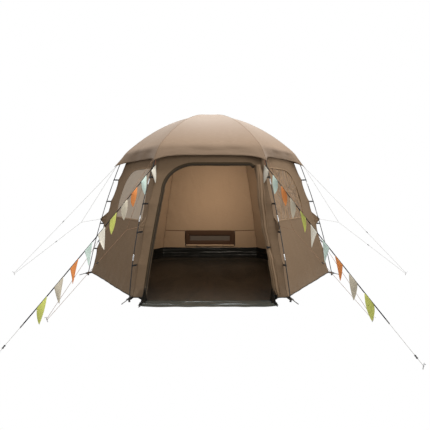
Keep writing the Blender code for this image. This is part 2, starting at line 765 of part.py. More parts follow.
def tray_mesh():
    """Six-sided tray turned from its half section: the floor turns up before it meets the walls."""
    flat = TRAY_RADIUS - TRAY_TURN_UP[0]
    rise = TRAY_TURN_UP[1]
    profile = [
        (0.0, SHEET),
        (flat, SHEET),
        (TRAY_RADIUS - SHEET, rise + SHEET),
        (TRAY_TOP_RADIUS - SHEET, TRAY_HEIGHT),
        (TRAY_TOP_RADIUS, TRAY_HEIGHT),
        (TRAY_RADIUS, rise),
        (flat, 0.0),
        (0.0, 0.0),
    ]
    mesh = bpy.data.meshes.new("tray")
    edges = [(index, index + 1) for index in range(len(profile) - 1)]
    mesh.from_pydata([(radius, 0.0, height) for radius, height in profile], edges, [])
    holder = bpy.data.objects.new("tray", mesh)
    bpy.context.scene.collection.objects.link(holder)
    turn = holder.modifiers.new("turn", "SCREW")
    turn.axis = "Z"
    turn.steps = 6
    turn.render_steps = 6
    turn.use_merge_vertices = True
    turn.merge_threshold = 0.0001
    turn.use_smooth_shade = False
    bpy.context.view_layer.update()
    evaluated = holder.evaluated_get(bpy.context.evaluated_depsgraph_get())
    result = bpy.data.meshes.new_from_object(evaluated)
    bpy.data.objects.remove(holder, do_unlink=True)
    return result


def box(low, high):
    build = bmesh.new()
    bmesh.ops.create_cube(build, size=1.0)
    middle = (low + high) / 2
    bmesh.ops.scale(build, vec=high - low, verts=build.verts)
    bmesh.ops.translate(build, vec=middle, verts=build.verts)
    return mesh_from("box", build)


def make_groundsheet(parts, materials):
    """Tray whose front wall is let down at the doorway and laid out before it."""
    left, right = DOOR_GAP
    front = TRAY_RADIUS * HALF_SIDE_COSINE
    gap = box(Vector((left, -front - GAP_OUT, -GAP_OUT)), Vector((right, -front + GAP_IN, TRAY_HEIGHT + GAP_OUT)))
    tray = combined([tray_mesh(), gap], "DIFFERENCE")
    lip = box(Vector((left - LIP_SIDE, -LIP_REACH, 0.0)), Vector((right + LIP_SIDE, -front + LIP_JOIN, SHEET)))
    fuse("groundsheet", [tray, lip], materials["groundsheet"], parts)


def make_door_panel(parts, materials):
    """Door drawn aside and tied against the wall at the right of the doorway."""
    points = []
    for across, height, radius in BUNDLE:
        face = wall_radius(height - radius / 2) * HALF_SIDE_COSINE
        points.append(Vector((across, -face - radius - BUNDLE_CLEAR, height)))
    radii = [radius for across, height, radius in BUNDLE]
    meshes = [tube(points, max(radii), 3, radii)]
    middle = points[TIE_ROW]
    low = Vector((middle.x + TIE_OFFSET[0], middle.y + TIE_OFFSET[1], TIE_HEIGHT - TIE_WIDTH / 2))
    meshes.append(tube([low, low + Vector((TIE_SLANT, 0.0, TIE_WIDTH))], TIE_RADIUS, 3))
    radius, length = TOGGLE
    toggle = Vector((middle.x + TOGGLE_OFFSET[0], middle.y + TOGGLE_OFFSET[1], TIE_HEIGHT - length / 2))
    meshes.append(tube([toggle, toggle + Vector((0.0, 0.0, length))], radius, 1))
    shade_round(fuse("door_panel", meshes, materials["canvas"], parts))


def main():
    clear_scene()
    parts = make_collection("yurt_tent")
    materials = make_materials()
    make_groundsheet(parts, materials)
    make_walls(parts, materials)
    make_windows(parts, materials)
    make_vent_cover(parts, materials)
    make_door_panel(parts, materials)
    make_roof(parts, materials)
    make_hub(parts, materials)
    for corner in CORNERS:
        make_leg_pole(corner, parts, materials)
        make_roof_pole(corner, parts, materials)
        make_corner_foot(corner, parts, materials)
        make_guy_set(corner, parts, materials)
    make_pennant_line("left", -1, parts, materials)
    make_pennant_line("right", 1, parts, materials)


main()
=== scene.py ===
"""Yurt tent dressed around its solids: hung cloth, roof canopy, door bundle, poles, lines and pennants."""

import math
from itertools import accumulate, product

import bmesh
import bpy
from bpy.props import FloatProperty, FloatVectorProperty, IntProperty, PointerProperty
from mathutils import Matrix, Vector, noise
from mathutils.geometry import interpolate_bezier


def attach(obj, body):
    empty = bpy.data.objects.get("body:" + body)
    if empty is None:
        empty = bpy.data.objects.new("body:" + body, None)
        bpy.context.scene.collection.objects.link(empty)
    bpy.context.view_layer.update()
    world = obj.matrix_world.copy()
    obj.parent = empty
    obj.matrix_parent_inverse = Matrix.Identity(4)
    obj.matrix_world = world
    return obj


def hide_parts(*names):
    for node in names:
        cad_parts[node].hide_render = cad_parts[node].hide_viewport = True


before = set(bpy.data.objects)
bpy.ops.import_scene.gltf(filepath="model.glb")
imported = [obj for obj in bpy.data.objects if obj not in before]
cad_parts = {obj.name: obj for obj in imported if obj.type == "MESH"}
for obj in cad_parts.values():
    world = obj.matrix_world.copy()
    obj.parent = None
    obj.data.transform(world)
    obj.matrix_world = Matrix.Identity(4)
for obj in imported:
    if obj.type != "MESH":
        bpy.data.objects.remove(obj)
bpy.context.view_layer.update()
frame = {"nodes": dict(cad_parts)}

bl_info = {
    "name": "Yurt Tent",
    "version": (1, 0, 0),
    "blender": (4, 5, 0),
    "location": "View3D > Sidebar > Yurt Tent",
    "description": "Builds a six-sided yurt tent with cloth, poles, guy lines and pennants",
    "category": "Add Mesh",
}

# Places and sizes in metres: ground at zero, door towards -Y. Angles are degrees round from +X.
UP = Vector((0.0, 0.0, 1.0))
TENT_MIDDLE = Vector((0.0, 0.0, 1.0))
FAR_BELOW = Vector((0.0, 0.0, -5.0))
HALF_SIDE_COSINE = math.cos(math.pi / 6)
CORNERS = {"front_left": 240, "front_right": 300, "right": 0,
           "back_right": 60, "back_left": 120, "left": 180}
SIDES = {"front": 270, "front_right": 330, "back_right": 30,
         "back": 90, "back_left": 150, "front_left": 210}

# Walls: corner radius at the ground, lean per metre, bow per square metre; then the soft waves
WALL_SHAPE = (1.947, 0.218, 0.0492)
WALL_BOTTOM = 0.04
WALL_TOP = 2.045
PULL_REACH = 0.05
SLACK_REACH = 0.15
SLACK_SHARE = 0.6
LOW_WAVES_REACH = 0.35
CREASE_REACH = 0.16
CALM_EDGE = 0.12

# Roof: a dome of parabolic ribs, then a valance down to pointed tips at the corners
ROOF_TOP = 2.615
ROOF_DROP = 0.612
ROOF_SCALE = 1.38
SHOULDER_RADIUS = 1.385
SHOULDER_ROUND = (0.032, 0.24)
TIP_RADIUS = 1.52
TIP_HEIGHT = 1.80
HEM_MIDDLE_HEIGHT = 1.875
HEM_POWER = 5
HEM_HANGS = {"front": 0.013, "front_left": 0.042, "front_right": 0.013}
VALANCE_HANGS = {"front": 0.78, "front_left": 0.3, "front_right": 0.12}
EAR_FLARES = {180: 0.035, 0: 0.008, 240: -0.02, 300: -0.02}
RIB_RISE = 0.0018
SWELL_RISE = 0.004
PUCKER_RISE = 0.0035

# Poles: the legs' shape is given as the walls' is
LEG_SHAPE = (2.0, 0.19, 0.054)
LEG_SPRUNG_OUT = {"front_left": 0.048}
LEG_BOTTOM = 0.062
BEND_START = 1.72
JOINT_RADIUS = 1.33
ROOF_POLE_DEPTH = 0.018
LEG_SLEEVES = (0.54, 1.02, 1.50)
ROOF_SLEEVES = (0.93, 0.47)
SLEEVE_LENGTH = 0.075
ROOF_SLOPE_SHARE = 0.47
CLIPS = (0.44, 0.85, 1.21, 1.56)
SOCKET_REACH = 0.09

# Feet: profile of radius and height, peg ends as radius and height
FOOT_TOP = 0.06
FOOT_PROFILE = ((0.0, 0.0), (0.0118, 0.0), (0.013, 0.0015), (0.013, 0.012), (0.0105, 0.016),
                (0.0095, 0.044), (0.011, 0.046), (0.011, 0.057), (0.0095, 0.0595), (0.0062, 0.06))
FOOT_WEB_ASIDE = 0.0145
FOOT_PEG_TOP = (2.035, 0.034)
FOOT_PEG_POINT = (2.14, 0.0045)

# Doorway, windows and vent, on the flat walls
DOOR_LEFT_MARGIN = 0.155
DOOR_RIGHT_MARGIN = 0.125
DOOR_SPRING = 1.38
DOOR_TOP = 1.735
DOOR_ARCH_REACH = 0.42
DOOR_CORNER = 0.04
WINDOW_BOTTOM = 0.98
WINDOW_TOP = 1.705
WINDOW_SPRING = 1.20
WINDOW_NEAR_MARGIN = 0.115
WINDOW_NEAR_TOP = 0.50
WINDOW_FAR_EDGE = -0.44
WINDOW_FAR_FOOT = -0.37
WINDOW_ARCH_END = 0.05
WINDOW_ARCH_POWER = 3.0
VENT_HALF_WIDTH = 0.50
VENT_BOTTOM = 0.285
VENT_TOP = 0.59
VENT_TOGGLE_AT = 0.262
ROLL_LOOP = 0.026

# Groundsheet: the turn-up is its width and rise, a fold is its rise, middle and breadth
TRAY_RADIUS = 1.925
TRAY_TOP_RADIUS = 1.883
TRAY_HEIGHT = 0.25
TRAY_TURN_UP = (0.14, 0.035)
DOOR_GAP = (-0.85, 0.81)
LIP_REACH = 1.97
LIP_TIPS = (2.03, 1.99)
LIP_FOLDS = ((0.012, 0.22, 0.07), (0.015, 0.62, 0.08))

# Tied-back door: place across the wall, height and radius of the bundle from its top down
BUNDLE = (
    (0.650, 1.73, 0.030), (0.662, 1.55, 0.042), (0.672, 1.30, 0.050), (0.700, 0.95, 0.042),
    (0.742, 0.66, 0.024), (0.775, 0.50, 0.038), (0.812, 0.22, 0.040), (0.838, 0.09, 0.034),
)
TIE_HEIGHT = 0.66
TIE_WIDTH = 0.022
TIE_ROUND = 0.18
TIE_STEPS = 32
TOGGLE_HALF = 0.02
TOGGLE_END = 0.003

# Thin sheets and lines; angles at which an edge is kept sharp
BINDING_THICK = 0.0006
TAPE_THICK = 0.0008
STRAP_THICK = 0.001
HEM_WIDTH = 0.008
THIN_LINE = 0.0016
SAME_POINT = 0.00005
ROD_EDGE = 35
FITTING_EDGE = 40

# Guy lines: pegs are wire radius and hook width, bridles and tabs radius and height
LINE_PEG = (0.0038, 0.018)
FOOT_PEG = (0.0055, 0.014)
PEG_LOOP = 0.0052
PEG_TILT = 0.02
PEG_HEIGHT = 0.06
PEG_BOTTOM = 0.0015
FRONT_PEG_RADIUS = 3.07
SIDE_PEG_RADIUS = 3.2
PEG_TURN = {"front_left": -3.6, "front_right": 3.6}
FRONT_BRIDLE = (1.98, 0.889)
SIDE_BRIDLE = (2.11, 0.866)
TAB_TIP = (1.797, 0.92)
TAB_TOP = 1.05
TAB_BOTTOM = 0.83
SLIDERS_AT = {"left": (0.52, 0.375), "right": (0.62, 0.44)}
USUAL_SLIDERS_AT = (0.57, 0.41)

# Pennant lines
PENNANTS = 10
PENNANT_SPACING = 0.264
PENNANT_START = Vector((0.770, -1.300, 1.690))
PENNANT_PEG = {"left": Vector((-1.74, -3.55, 0.0)), "right": Vector((1.634, -3.764, 0.0))}
PENNANT_SAG = 0.02
PENNANT_FULLNESS = 0.90
PENNANT_TURN = 0.38
TIPS_SWING_IN = (0.035, 0.012, -0.020, 0.0, -0.028)
TAPE_RUN_OUT = 0.30
TAPE_WIDTH = 0.012


def length_property(name, text, default):
    return FloatProperty(name=name, description=text, default=default, unit="LENGTH")


def colour_property(name, default):
    return FloatVectorProperty(name=name, description=f"Colour of the {name.lower()}", subtype="COLOR",
                               size=3, min=0.0, max=1.0, default=default)


class YurtShape(bpy.types.PropertyGroup):
    """Sizes of the tent's soft details"""

    cloth: length_property("Cloth", "Thickness of the tent cloth", 0.0016)
    grid: length_property("Grid", "Spacing of the points of a cloth", 0.021)
    ripple: length_property("Ripple", "Depth of the soft waves in a wall", 0.006)
    pull: length_property("Pull", "How far a clip pulls a wall corner out", 0.010)
    sag: length_property("Sag", "How far a roof gore sinks between its ribs", 0.012)
    ear: length_property("Ear", "How far an ear's point hangs below its line", 0.022)
    seam: length_property("Seam", "Width of a felled seam", 0.011)
    band: length_property("Door band", "Width of the band along the doorway", 0.050)
    rod: length_property("Rod", "Radius of a pole", 0.006)
    sleeve: length_property("Sleeve", "Radius of a pole's joint sleeve", 0.008)
    line: length_property("Line", "Radius of a guy line", 0.002)
    layers: IntProperty(name="Layers", description="Layers of cloth in the tied-back door", default=11)
    pennant_width: length_property("Pennant width", "Width of a pennant", 0.15)
    pennant_drop: length_property("Pennant drop", "Height of a pennant", 0.21)


class YurtColours(bpy.types.PropertyGroup):
    """Colours of the tent's materials"""

    canvas: colour_property("Wall cloth", (0.250, 0.166, 0.099))
    # Inside of the same cloth, made lighter: painted glow of light coming through the cloth
    inside_glow: colour_property("Wall cloth inside", (0.36, 0.245, 0.155))
    # The roof cloth is the wall cloth made a little lighter and greyer: painted sheen on the upward faces
    roof: colour_property("Roof cloth", (0.270, 0.184, 0.119))
    # Colour that the roof is blended towards as it rises: painted sheen on the top
    roof_painted_sheen: colour_property("Sun-faded roof", (0.292, 0.232, 0.186))
    band: colour_property("Door band", (0.082, 0.057, 0.032))
    frame: colour_property("Vent frame", (0.060, 0.030, 0.016))
    mesh: colour_property("Vent mesh", (0.075, 0.048, 0.024))
    film: colour_property("Window film", (0.45, 0.35, 0.25))
    floor: colour_property("Groundsheet", (0.018, 0.014, 0.0095))
    upstand: colour_property("Groundsheet wall", (0.0035, 0.004, 0.0035))
    lip: colour_property("Doorway flap", (0.030, 0.034, 0.028))
    rod: colour_property("Pole", (0.018, 0.018, 0.019))
    steel: colour_property("Joint sleeve", (0.80, 0.81, 0.82))
    plastic: colour_property("Plastic", (0.014, 0.014, 0.015))
    line: colour_property("Guy line", (0.56, 0.54, 0.51))
    front_line: colour_property("Front guy line", (0.27, 0.135, 0.06))
    tie: colour_property("Tie cord", (0.46, 0.12, 0.05))
    cream: colour_property("Cream pennant", (0.97, 0.91, 0.77))
    mint: colour_property("Mint pennant", (0.74, 0.90, 0.80))
    orange: colour_property("Orange pennant", (1.0, 0.36, 0.11))
    beige: colour_property("Beige pennant", (0.75, 0.67, 0.52))
    lime: colour_property("Lime pennant", (0.82, 0.85, 0.22))


PENNANT_COLOURS = ("cream", "mint", "orange", "beige", "lime")
MIDDLE_GREY = (0.5, 0.5, 0.5, 1)


# Surfaces that the pieces follow

def polar(radius, angle, height, aside=0.0):
    """Point at a radius and an angle in degrees, moved aside at right angles to the radius."""
    turn = math.radians(angle)
    outward = Vector((math.cos(turn), math.sin(turn), 0.0))
    sideways = Vector((-math.sin(turn), math.cos(turn), 0.0))
    return outward * radius + sideways * aside + UP * height


def bowed(shape, height):
    """Radius of a wall or a leg at a height."""
    base, lean, bow = shape
    return base - lean * height - bow * height ** 2


def roof_height(radius):
    """Height of the dome over its corner ribs."""
    return ROOF_TOP - ROOF_DROP * (radius / ROOF_SCALE) ** 2


def roof_point(radius, depth):
    """Radius and height of a point at a depth square to the dome's corner rib."""
    slope = math.atan(2 * ROOF_DROP * radius / ROOF_SCALE ** 2)
    return radius - depth * math.sin(slope), roof_height(radius) - depth * math.cos(slope)


def ease(value):
    """Smooth step from 0 to 1."""
    value = min(max(value, 0.0), 1.0)
    return value * value * (3 - 2 * value)


def arc(share):
    """Nought at both ends, one half way."""
    return math.sin(math.pi * share)


def peak(distance, reach):
    """One at no distance, dying away over a reach."""
    return math.exp(-(distance / reach) ** 2)


def ripples(*place):
    """Even noise, about -1 to 1."""
    return noise.noise(Vector(place))


def swells(*place):
    """Noise with three finer layers."""
    return noise.fractal(Vector(place), 1.0, 2.0, 3)


def side_axes(side):
    """Level directions along a side, going round, and out of it."""
    turn = math.radians(SIDES[side])
    return Vector((-math.sin(turn), math.cos(turn), 0.0)), Vector((math.cos(turn), math.sin(turn), 0.0))


def corner_pull(height):
    """How far a wall corner is drawn out: most at its clips and at the guy tab, least between them."""
    shape = bpy.context.scene.yurt_shape
    nearest = min(abs(height - clip) for clip in (*CLIPS, TAB_TIP[1], WALL_BOTTOM))
    return shape.pull * (peak(nearest, PULL_REACH) - SLACK_SHARE * ease(nearest / SLACK_REACH))


def wall_ripple(side, across, height, half):
    """Waves of a hung wall: broad swells, soft upright folds and creases that run in from the clips."""
    seed = SIDES[side] * 0.37
    swell = swells(across * 1.3, height * 0.9, seed)
    upright = ripples(across * 7.0, height * 0.8, seed + 9.0)
    low = ease(1.0 - (height - WALL_BOTTOM) / LOW_WAVES_REACH) * math.sin(across * 21.0 + 3.0 * swell)
    waves = 1.1 * swell + 0.45 * upright + 0.35 * low
    for clip, edge in product(CLIPS, (-half, half)):
        reach = math.hypot(across - edge, height - clip)
        turn = math.atan2(height - clip, abs(across - edge) + 0.001)
        waves += 0.45 * math.exp(-reach / CREASE_REACH) * math.cos(turn * 9.0)
    return bpy.context.scene.yurt_shape.ripple * waves


def wall_point(side, across, height, lift=0.0):
    """Point on the outer face of a hung wall, lifted off it by lift."""
    along, out = side_axes(side)
    radius = bowed(WALL_SHAPE, height)
    half = radius / 2
    inside = half - abs(across)
    calm = ease(inside / CALM_EDGE)
    point = along * across + UP * height + out * (radius * HALF_SIDE_COSINE + lift)
    if inside < CALM_EDGE:
        corner = SIDES[side] + math.copysign(30, across)
        point += polar(corner_pull(height) * (1.0 - calm), corner, 0.0)
    return point + out * (calm * wall_ripple(side, across, height, half))


def hem_height(side, column):
    """Height of the valance's hem: nearly level, then down to the pointed ear at each rib."""
    middle = HEM_MIDDLE_HEIGHT - HEM_HANGS.get(side, 0.0)
    fall = (middle - TIP_HEIGHT) * abs(column) ** HEM_POWER
    ear = bpy.context.scene.yurt_shape.ear * math.exp((abs(column) - 1.0) / 0.05)
    return middle - fall - ear


def walls_at(corner):
    """The two sides that meet at a corner: the one before it going round, then the one after it."""
    return [next(side for side, turn in SIDES.items() if (turn + step) % 360 == CORNERS[corner])
            for step in (30, -30)]


def roof_surface(side, column, share, lift=0.0):
    """Point on the canopy: column -1 to 1 from rib to rib, share 0 to 1 down the dome and 1 to 2 down the
    valance."""
    shape = bpy.context.scene.yurt_shape
    along, out = side_axes(side)
    top = roof_height(SHOULDER_RADIUS)
    if share <= 1.0:
        radius, height = roof_point(SHOULDER_RADIUS * share, -lift)
    else:
        run = (TIP_RADIUS - SHOULDER_RADIUS) / (top - TIP_HEIGHT)
        height = top + (hem_height(side, column) - top) * (share - 1.0)
        flare = EAR_FLARES.get((SIDES[side] + math.copysign(30, column)) % 360, 0.0)
        flare *= math.exp((abs(column) - 1.0) / 0.06) * (share - 1.0) ** 2
        hang = VALANCE_HANGS.get(side, 0.5)
        run *= hang + (1.0 - hang) * abs(column) ** 3
        radius = SHOULDER_RADIUS + (top - height) * run + flare + lift / HALF_SIDE_COSINE
    half = radius / 2
    inside = (1.0 - abs(column)) * half
    spread_out = ease((share - 0.06) / 0.45)
    sag = shape.sag * (1.0 - column ** 2) * arc(min(share, 1.0)) ** 0.8 * spread_out
    rib = RIB_RISE * peak(inside, 0.010) * spread_out
    seed = SIDES[side] * 0.21
    swell = SWELL_RISE * swells(column * half * 1.5, share * 1.7, seed)
    swell *= (1.0 - abs(column) ** 4) * spread_out
    ear = ease((share - 1.0) * 1.4) * math.exp(-inside / 0.15)
    pucker = PUCKER_RISE * ear * math.cos(inside * 120.0 + share * 2.0)
    wave = SWELL_RISE * ease((share - 1.0) * 2) * math.sin(column * 9.0 + seed) * (1.0 - abs(column) ** 6)
    push = swell + pucker * min(inside / 0.02, 1.0) + wave - rib
    steep = 0.75 if share > 1.0 else 0.0
    level = radius * HALF_SIDE_COSINE + push * (0.35 + steep)
    return along * (column * half) + out * level + UP * (height - sag + push * (1.0 - steep) * 0.7)


def roof_place(side, column, share, lift=0.0):
    """The same point, with the fold between dome and valance rounded over a few centimetres."""
    before, after = SHOULDER_ROUND
    turn = (share - 1.0) / (before if share < 1.0 else after)
    if abs(turn) >= 1.0:
        return roof_surface(side, column, share, lift)
    first, fold, last = (roof_surface(side, column, place, lift)
                         for place in (1.0 - before, 1.0, 1.0 + after))
    part = (turn + 1.0) / 2
    return first * (1.0 - part) ** 2 + fold * (2 * part * (1.0 - part)) + last * part ** 2


# Mesh tools

def laid_sheet(columns, rows, place, closed=False):
    """Grid of cloth; place takes across and along, 0 to 1, and gives a point and its spot on flat cloth."""
    build = bmesh.new()
    flat = build.loops.layers.uv.new("flat")
    bmesh.ops.create_grid(build, x_segments=columns, y_segments=rows, size=0.5)
    laid = {vert: place(vert.co.x + 0.5, vert.co.y + 0.5) for vert in build.verts}
    for face in build.faces:
        for loop in face.loops:
            loop[flat].uv = laid[loop.vert][1]
    for vert, (point, _) in laid.items():
        vert.co = point
    if closed:
        bmesh.ops.remove_doubles(build, verts=build.verts, dist=SAME_POINT)
    return build


def face_away(build, centre=TENT_MIDDLE):
    """Turns an open sheet so that its faces point away from a centre."""
    build.normal_update()
    way = sum(face.normal.dot(face.calc_center_median() - centre) * face.calc_area() for face in build.faces)
    if way < 0.0:
        bmesh.ops.reverse_faces(build, faces=build.faces)
    return build


def path_frames(points):
    """Two directions square to a path at each of its points, carried along without twist."""
    frames = []
    side = None
    for index in range(len(points)):
        ahead = points[min(index + 1, len(points) - 1)]
        behind = points[max(index - 1, 0)]
        way = (ahead - behind).normalized()
        if side is None:
            side = way.cross(UP if abs(way.z) < 0.9 else Vector((1.0, 0.0, 0.0))).normalized()
        side = (side - way * side.dot(way)).normalized()
        frames.append((side, way.cross(side)))
    return frames


def run_lengths(points):
    """Distance along a path at each of its points."""
    return [0.0, *accumulate((second - first).length for first, second in zip(points, points[1:]))]


def rod_mesh(points, radii, sides=12):
    """Round bar along points with closed ends; radii is one radius or one for each point."""
    if isinstance(radii, float):
        radii = [radii] * len(points)
    frames, runs = path_frames(points), run_lengths(points)

    def place(around, along):
        index = round(along * (len(points) - 1))
        turn = around * math.tau
        side, over = frames[index]
        reach = (side * math.cos(turn) + over * math.sin(turn)) * radii[index]
        return points[index] + reach, (around * math.tau * radii[index], runs[index])

    build = laid_sheet(sides, len(points) - 1, place, closed=True)
    ends = [edge for edge in build.edges if edge.is_boundary]
    bmesh.ops.holes_fill(build, edges=ends, sides=0)
    bmesh.ops.recalc_face_normals(build, faces=build.faces)
    return build


def ring_path(centre, side, over, steps):
    """Closed round of points; side and over reach from its centre to the ring."""
    turns = [math.tau * step / steps for step in range(steps + 1)]
    return [centre + side * math.cos(turn) + over * math.sin(turn) for turn in turns]


def toggle_mesh(middle, radius, shank):
    """Upright toggle with narrowed ends; shank is half the length of its full thickness."""
    heights = (-TOGGLE_HALF, -shank, shank, TOGGLE_HALF)
    return rod_mesh([middle + UP * height for height in heights], [TOGGLE_END, radius, radius, TOGGLE_END])


def thickened(build, thickness):
    """Sheet with two faces, set apart along the normals that its faces hold."""
    bmesh.ops.solidify(build, geom=build.faces[:], thickness=thickness)
    return build


def block_mesh(size, matrix, round_edges):
    """Box of three sizes with rounded edges, placed by a matrix."""
    build = bmesh.new()
    bmesh.ops.create_cube(build, size=1.0)
    bmesh.ops.scale(build, vec=size, verts=build.verts)
    bmesh.ops.bevel(build, geom=build.edges[:], offset=round_edges, affect="EDGES", segments=2, profile=0.5,
                    material=-1)
    bmesh.ops.transform(build, matrix=matrix, verts=build.verts)
    return build


def turned_mesh(profile, matrix, steps=24):
    """Profile of radius and height pairs spun round its axis, placed by a matrix."""
    build = bmesh.new()
    verts = [build.verts.new((radius, 0.0, height)) for radius, height in profile]
    edges = [build.edges.new(pair) for pair in zip(verts, verts[1:])]
    bmesh.ops.spin(build, geom=verts + edges, cent=(0, 0, 0), axis=(0, 0, 1), angle=math.tau, steps=steps,
                   use_merge=True)
    bmesh.ops.remove_doubles(build, verts=build.verts, dist=0.00002)
    bmesh.ops.recalc_face_normals(build, faces=build.faces)
    bmesh.ops.transform(build, matrix=matrix, verts=build.verts)
    return build


def aimed(origin, way, near=UP):
    """Matrix at an origin whose Z axis is way and whose X axis lies close to near."""
    way = way.normalized()
    over = way.cross(near).normalized()
    across = over.cross(way)
    matrix = Matrix((across, over, way)).transposed().to_4x4()
    matrix.translation = origin
    return matrix


def joined(builds):
    """One bmesh from several; each keeps its material index."""
    whole = bmesh.new()
    whole.loops.layers.uv.new("flat")
    for build in builds:
        mesh = bpy.data.meshes.new("part")
        build.to_mesh(mesh)
        build.free()
        whole.from_mesh(mesh)
        bpy.data.meshes.remove(mesh)
    return whole


def painted(build, index):
    """The same mesh, all in one material."""
    for face in build.faces:
        face.material_index = index
    return build


def put(name, build, materials, replaces=(), thick=0.0, inner=0, smooth_angle=None):
    """Piece of the tent from a bmesh, with its materials, thickness, slot and the solids it replaces."""
    mesh = bpy.data.meshes.new(name)
    build.to_mesh(mesh)
    build.free()
    piece = bpy.data.objects.new(name, mesh)
    bpy.context.scene.collection.objects.link(piece)
    for material in materials:
        mesh.materials.append(material)
    mesh.shade_smooth()
    if smooth_angle:
        mesh.set_sharp_from_angle(angle=math.radians(smooth_angle))
    if thick:
        wall = piece.modifiers.new("Cloth", "SOLIDIFY")
        wall.thickness = thick
        wall.offset = -1.0
        wall.material_offset = inner
        wall.material_offset_rim = 0
    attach(piece, "root")
    if replaces:
        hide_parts(*replaces)
    return piece


# Materials

def feed(tree, node, inputs):
    """Links each named input of a node to a socket, or sets it to a value."""
    for key, value in inputs.items():
        if isinstance(value, bpy.types.NodeSocket):
            tree.links.new(value, node.inputs[key])
        else:
            node.inputs[key].default_value = value
    return node


def wire(tree, kind, inputs=None, **settings):
    """Shader node with its settings and its inputs."""
    made = tree.nodes.new("ShaderNode" + kind)
    for name, value in settings.items():
        setattr(made, name, value)
    return feed(tree, made, inputs or {})


def maths(tree, operation, *values):
    """Result of a sum on sockets or numbers."""
    return wire(tree, "Math", dict(enumerate(values)), operation=operation).outputs[0]


def blended(tree, factor, first, second):
    """Colour between two, by a factor."""
    return wire(tree, "Mix", {0: factor, 6: first, 7: second}, data_type="RGBA").outputs[2]


def ramp(tree, value, low, high, to_low=0.0, to_high=1.0):
    """Value moved from one range to another and held within it."""
    inputs = {"Value": value, "From Min": low, "From Max": high, "To Min": to_low, "To Max": to_high}
    return wire(tree, "MapRange", inputs).outputs["Result"]


def clouds(tree, place, scale, detail, roughness=0.5, distortion=0.0):
    """Cloudy noise, 0 to 1."""
    inputs = {"Vector": place, "Scale": scale, "Detail": detail, "Roughness": roughness,
              "Distortion": distortion}
    return wire(tree, "TexNoise", inputs).outputs["Fac"]


def stretched(tree, place, scale):
    return wire(tree, "Mapping", {"Vector": place, "Scale": scale}).outputs[0]


def on_cloth(tree):
    """Place on the flat cloth, in metres."""
    return wire(tree, "UVMap", uv_map="flat").outputs["UV"]


def place_and_height(tree):
    """Place in the tent's own space, and its height."""
    place = wire(tree, "TexCoord").outputs["Object"]
    return place, wire(tree, "SeparateXYZ", {0: place}).outputs[2]


def new_group(name, inputs, outputs):
    """Empty node group; its inputs are names with their defaults, its outputs names with a socket type."""
    tree = bpy.data.node_groups.new(name, "ShaderNodeTree")
    for label, default in inputs.items():
        kind = "Float" if isinstance(default, float) else "Color" if len(default) == 4 else "Vector"
        socket = tree.interface.new_socket(name=label, in_out="INPUT", socket_type="NodeSocket" + kind)
        socket.default_value = default
    for label, kind in outputs.items():
        tree.interface.new_socket(name=label, in_out="OUTPUT", socket_type="NodeSocket" + kind)
    return tree, tree.nodes.new("NodeGroupInput").outputs, tree.nodes.new("NodeGroupOutput")


def weave_group():
    """Plain weave on the flat cloth: yarns over and under, slubs, and slow changes of tone."""
    tree, given, result = new_group(
        "Cloth Weave", {"Cloth": MIDDLE_GREY, "Yarn": MIDDLE_GREY, "Threads": 900.0, "Tone": 0.5},
        {"Colour": "Color", "Roughness": "Float", "Height": "Float"})
    flat = on_cloth(tree)
    counted = wire(tree, "VectorMath", {0: flat, "Scale": given["Threads"]}, operation="SCALE").outputs[0]
    apart = wire(tree, "SeparateXYZ", {0: counted}).outputs
    over = maths(tree, "MULTIPLY", maths(tree, "SINE", apart[0]), maths(tree, "SINE", apart[1]))
    raised = maths(tree, "MULTIPLY_ADD", over, 0.5, 0.5)
    slub = clouds(tree, stretched(tree, counted, (0.010, 0.12, 1.0)), 1.0, 2.0)
    cloud = clouds(tree, flat, 1.9, 4.0, 0.6)
    slow = maths(tree, "MULTIPLY", maths(tree, "SUBTRACT", cloud, 0.5), given["Tone"])
    fine = maths(tree, "MULTIPLY_ADD", raised, 0.20, maths(tree, "MULTIPLY", slub, 0.55))
    share = maths(tree, "ADD", fine, slow)
    feed(tree, result, {"Colour": blended(tree, share, given["Cloth"], given["Yarn"]),
                        "Roughness": ramp(tree, slub, 0.3, 0.7, 0.78, 0.94),
                        "Height": maths(tree, "MULTIPLY_ADD", slub, 0.4, raised)})
    return tree


def crease_group():
    """Packing creases and soft crumples on the flat cloth, as a height."""
    tree, given, result = new_group(
        "Cloth Creases", {"Scale": 3.0, "Stretch": (1.0, 1.0, 1.0), "Sharpness": 0.5}, {"Height": "Float"})
    swell = clouds(tree, stretched(tree, on_cloth(tree), given["Stretch"]), given["Scale"], 3.0, 0.5, 0.6)
    fold = maths(tree, "ABSOLUTE", maths(tree, "SUBTRACT", swell, 0.5))
    crest = maths(tree, "SUBTRACT", 1.0, maths(tree, "MULTIPLY", fold, 5.0))
    sharp = maths(tree, "MULTIPLY", maths(tree, "MAXIMUM", crest, 0.0), given["Sharpness"])
    feed(tree, result, {"Height": maths(tree, "ADD", swell, sharp)})
    return tree


def ground_dust_group():
    """Dust that settles on whatever is near the ground, by height."""
    tree, given, result = new_group(
        "Ground Dust", {"Colour": MIDDLE_GREY, "Dust": (0.42, 0.36, 0.29, 1), "Reach": 0.25, "Amount": 0.25},
        {"Colour": "Color"})
    place, height = place_and_height(tree)
    speck = clouds(tree, place, 9.0, 6.0, 0.7)
    near = maths(tree, "SUBTRACT", 1.0, maths(tree, "DIVIDE", height, given["Reach"]))
    held = maths(tree, "MULTIPLY", maths(tree, "MAXIMUM", near, 0.0), ramp(tree, speck, 0.35, 0.7))
    share = maths(tree, "MULTIPLY", held, given["Amount"])
    feed(tree, result, {"Colour": blended(tree, share, given["Colour"], given["Dust"])})
    return tree


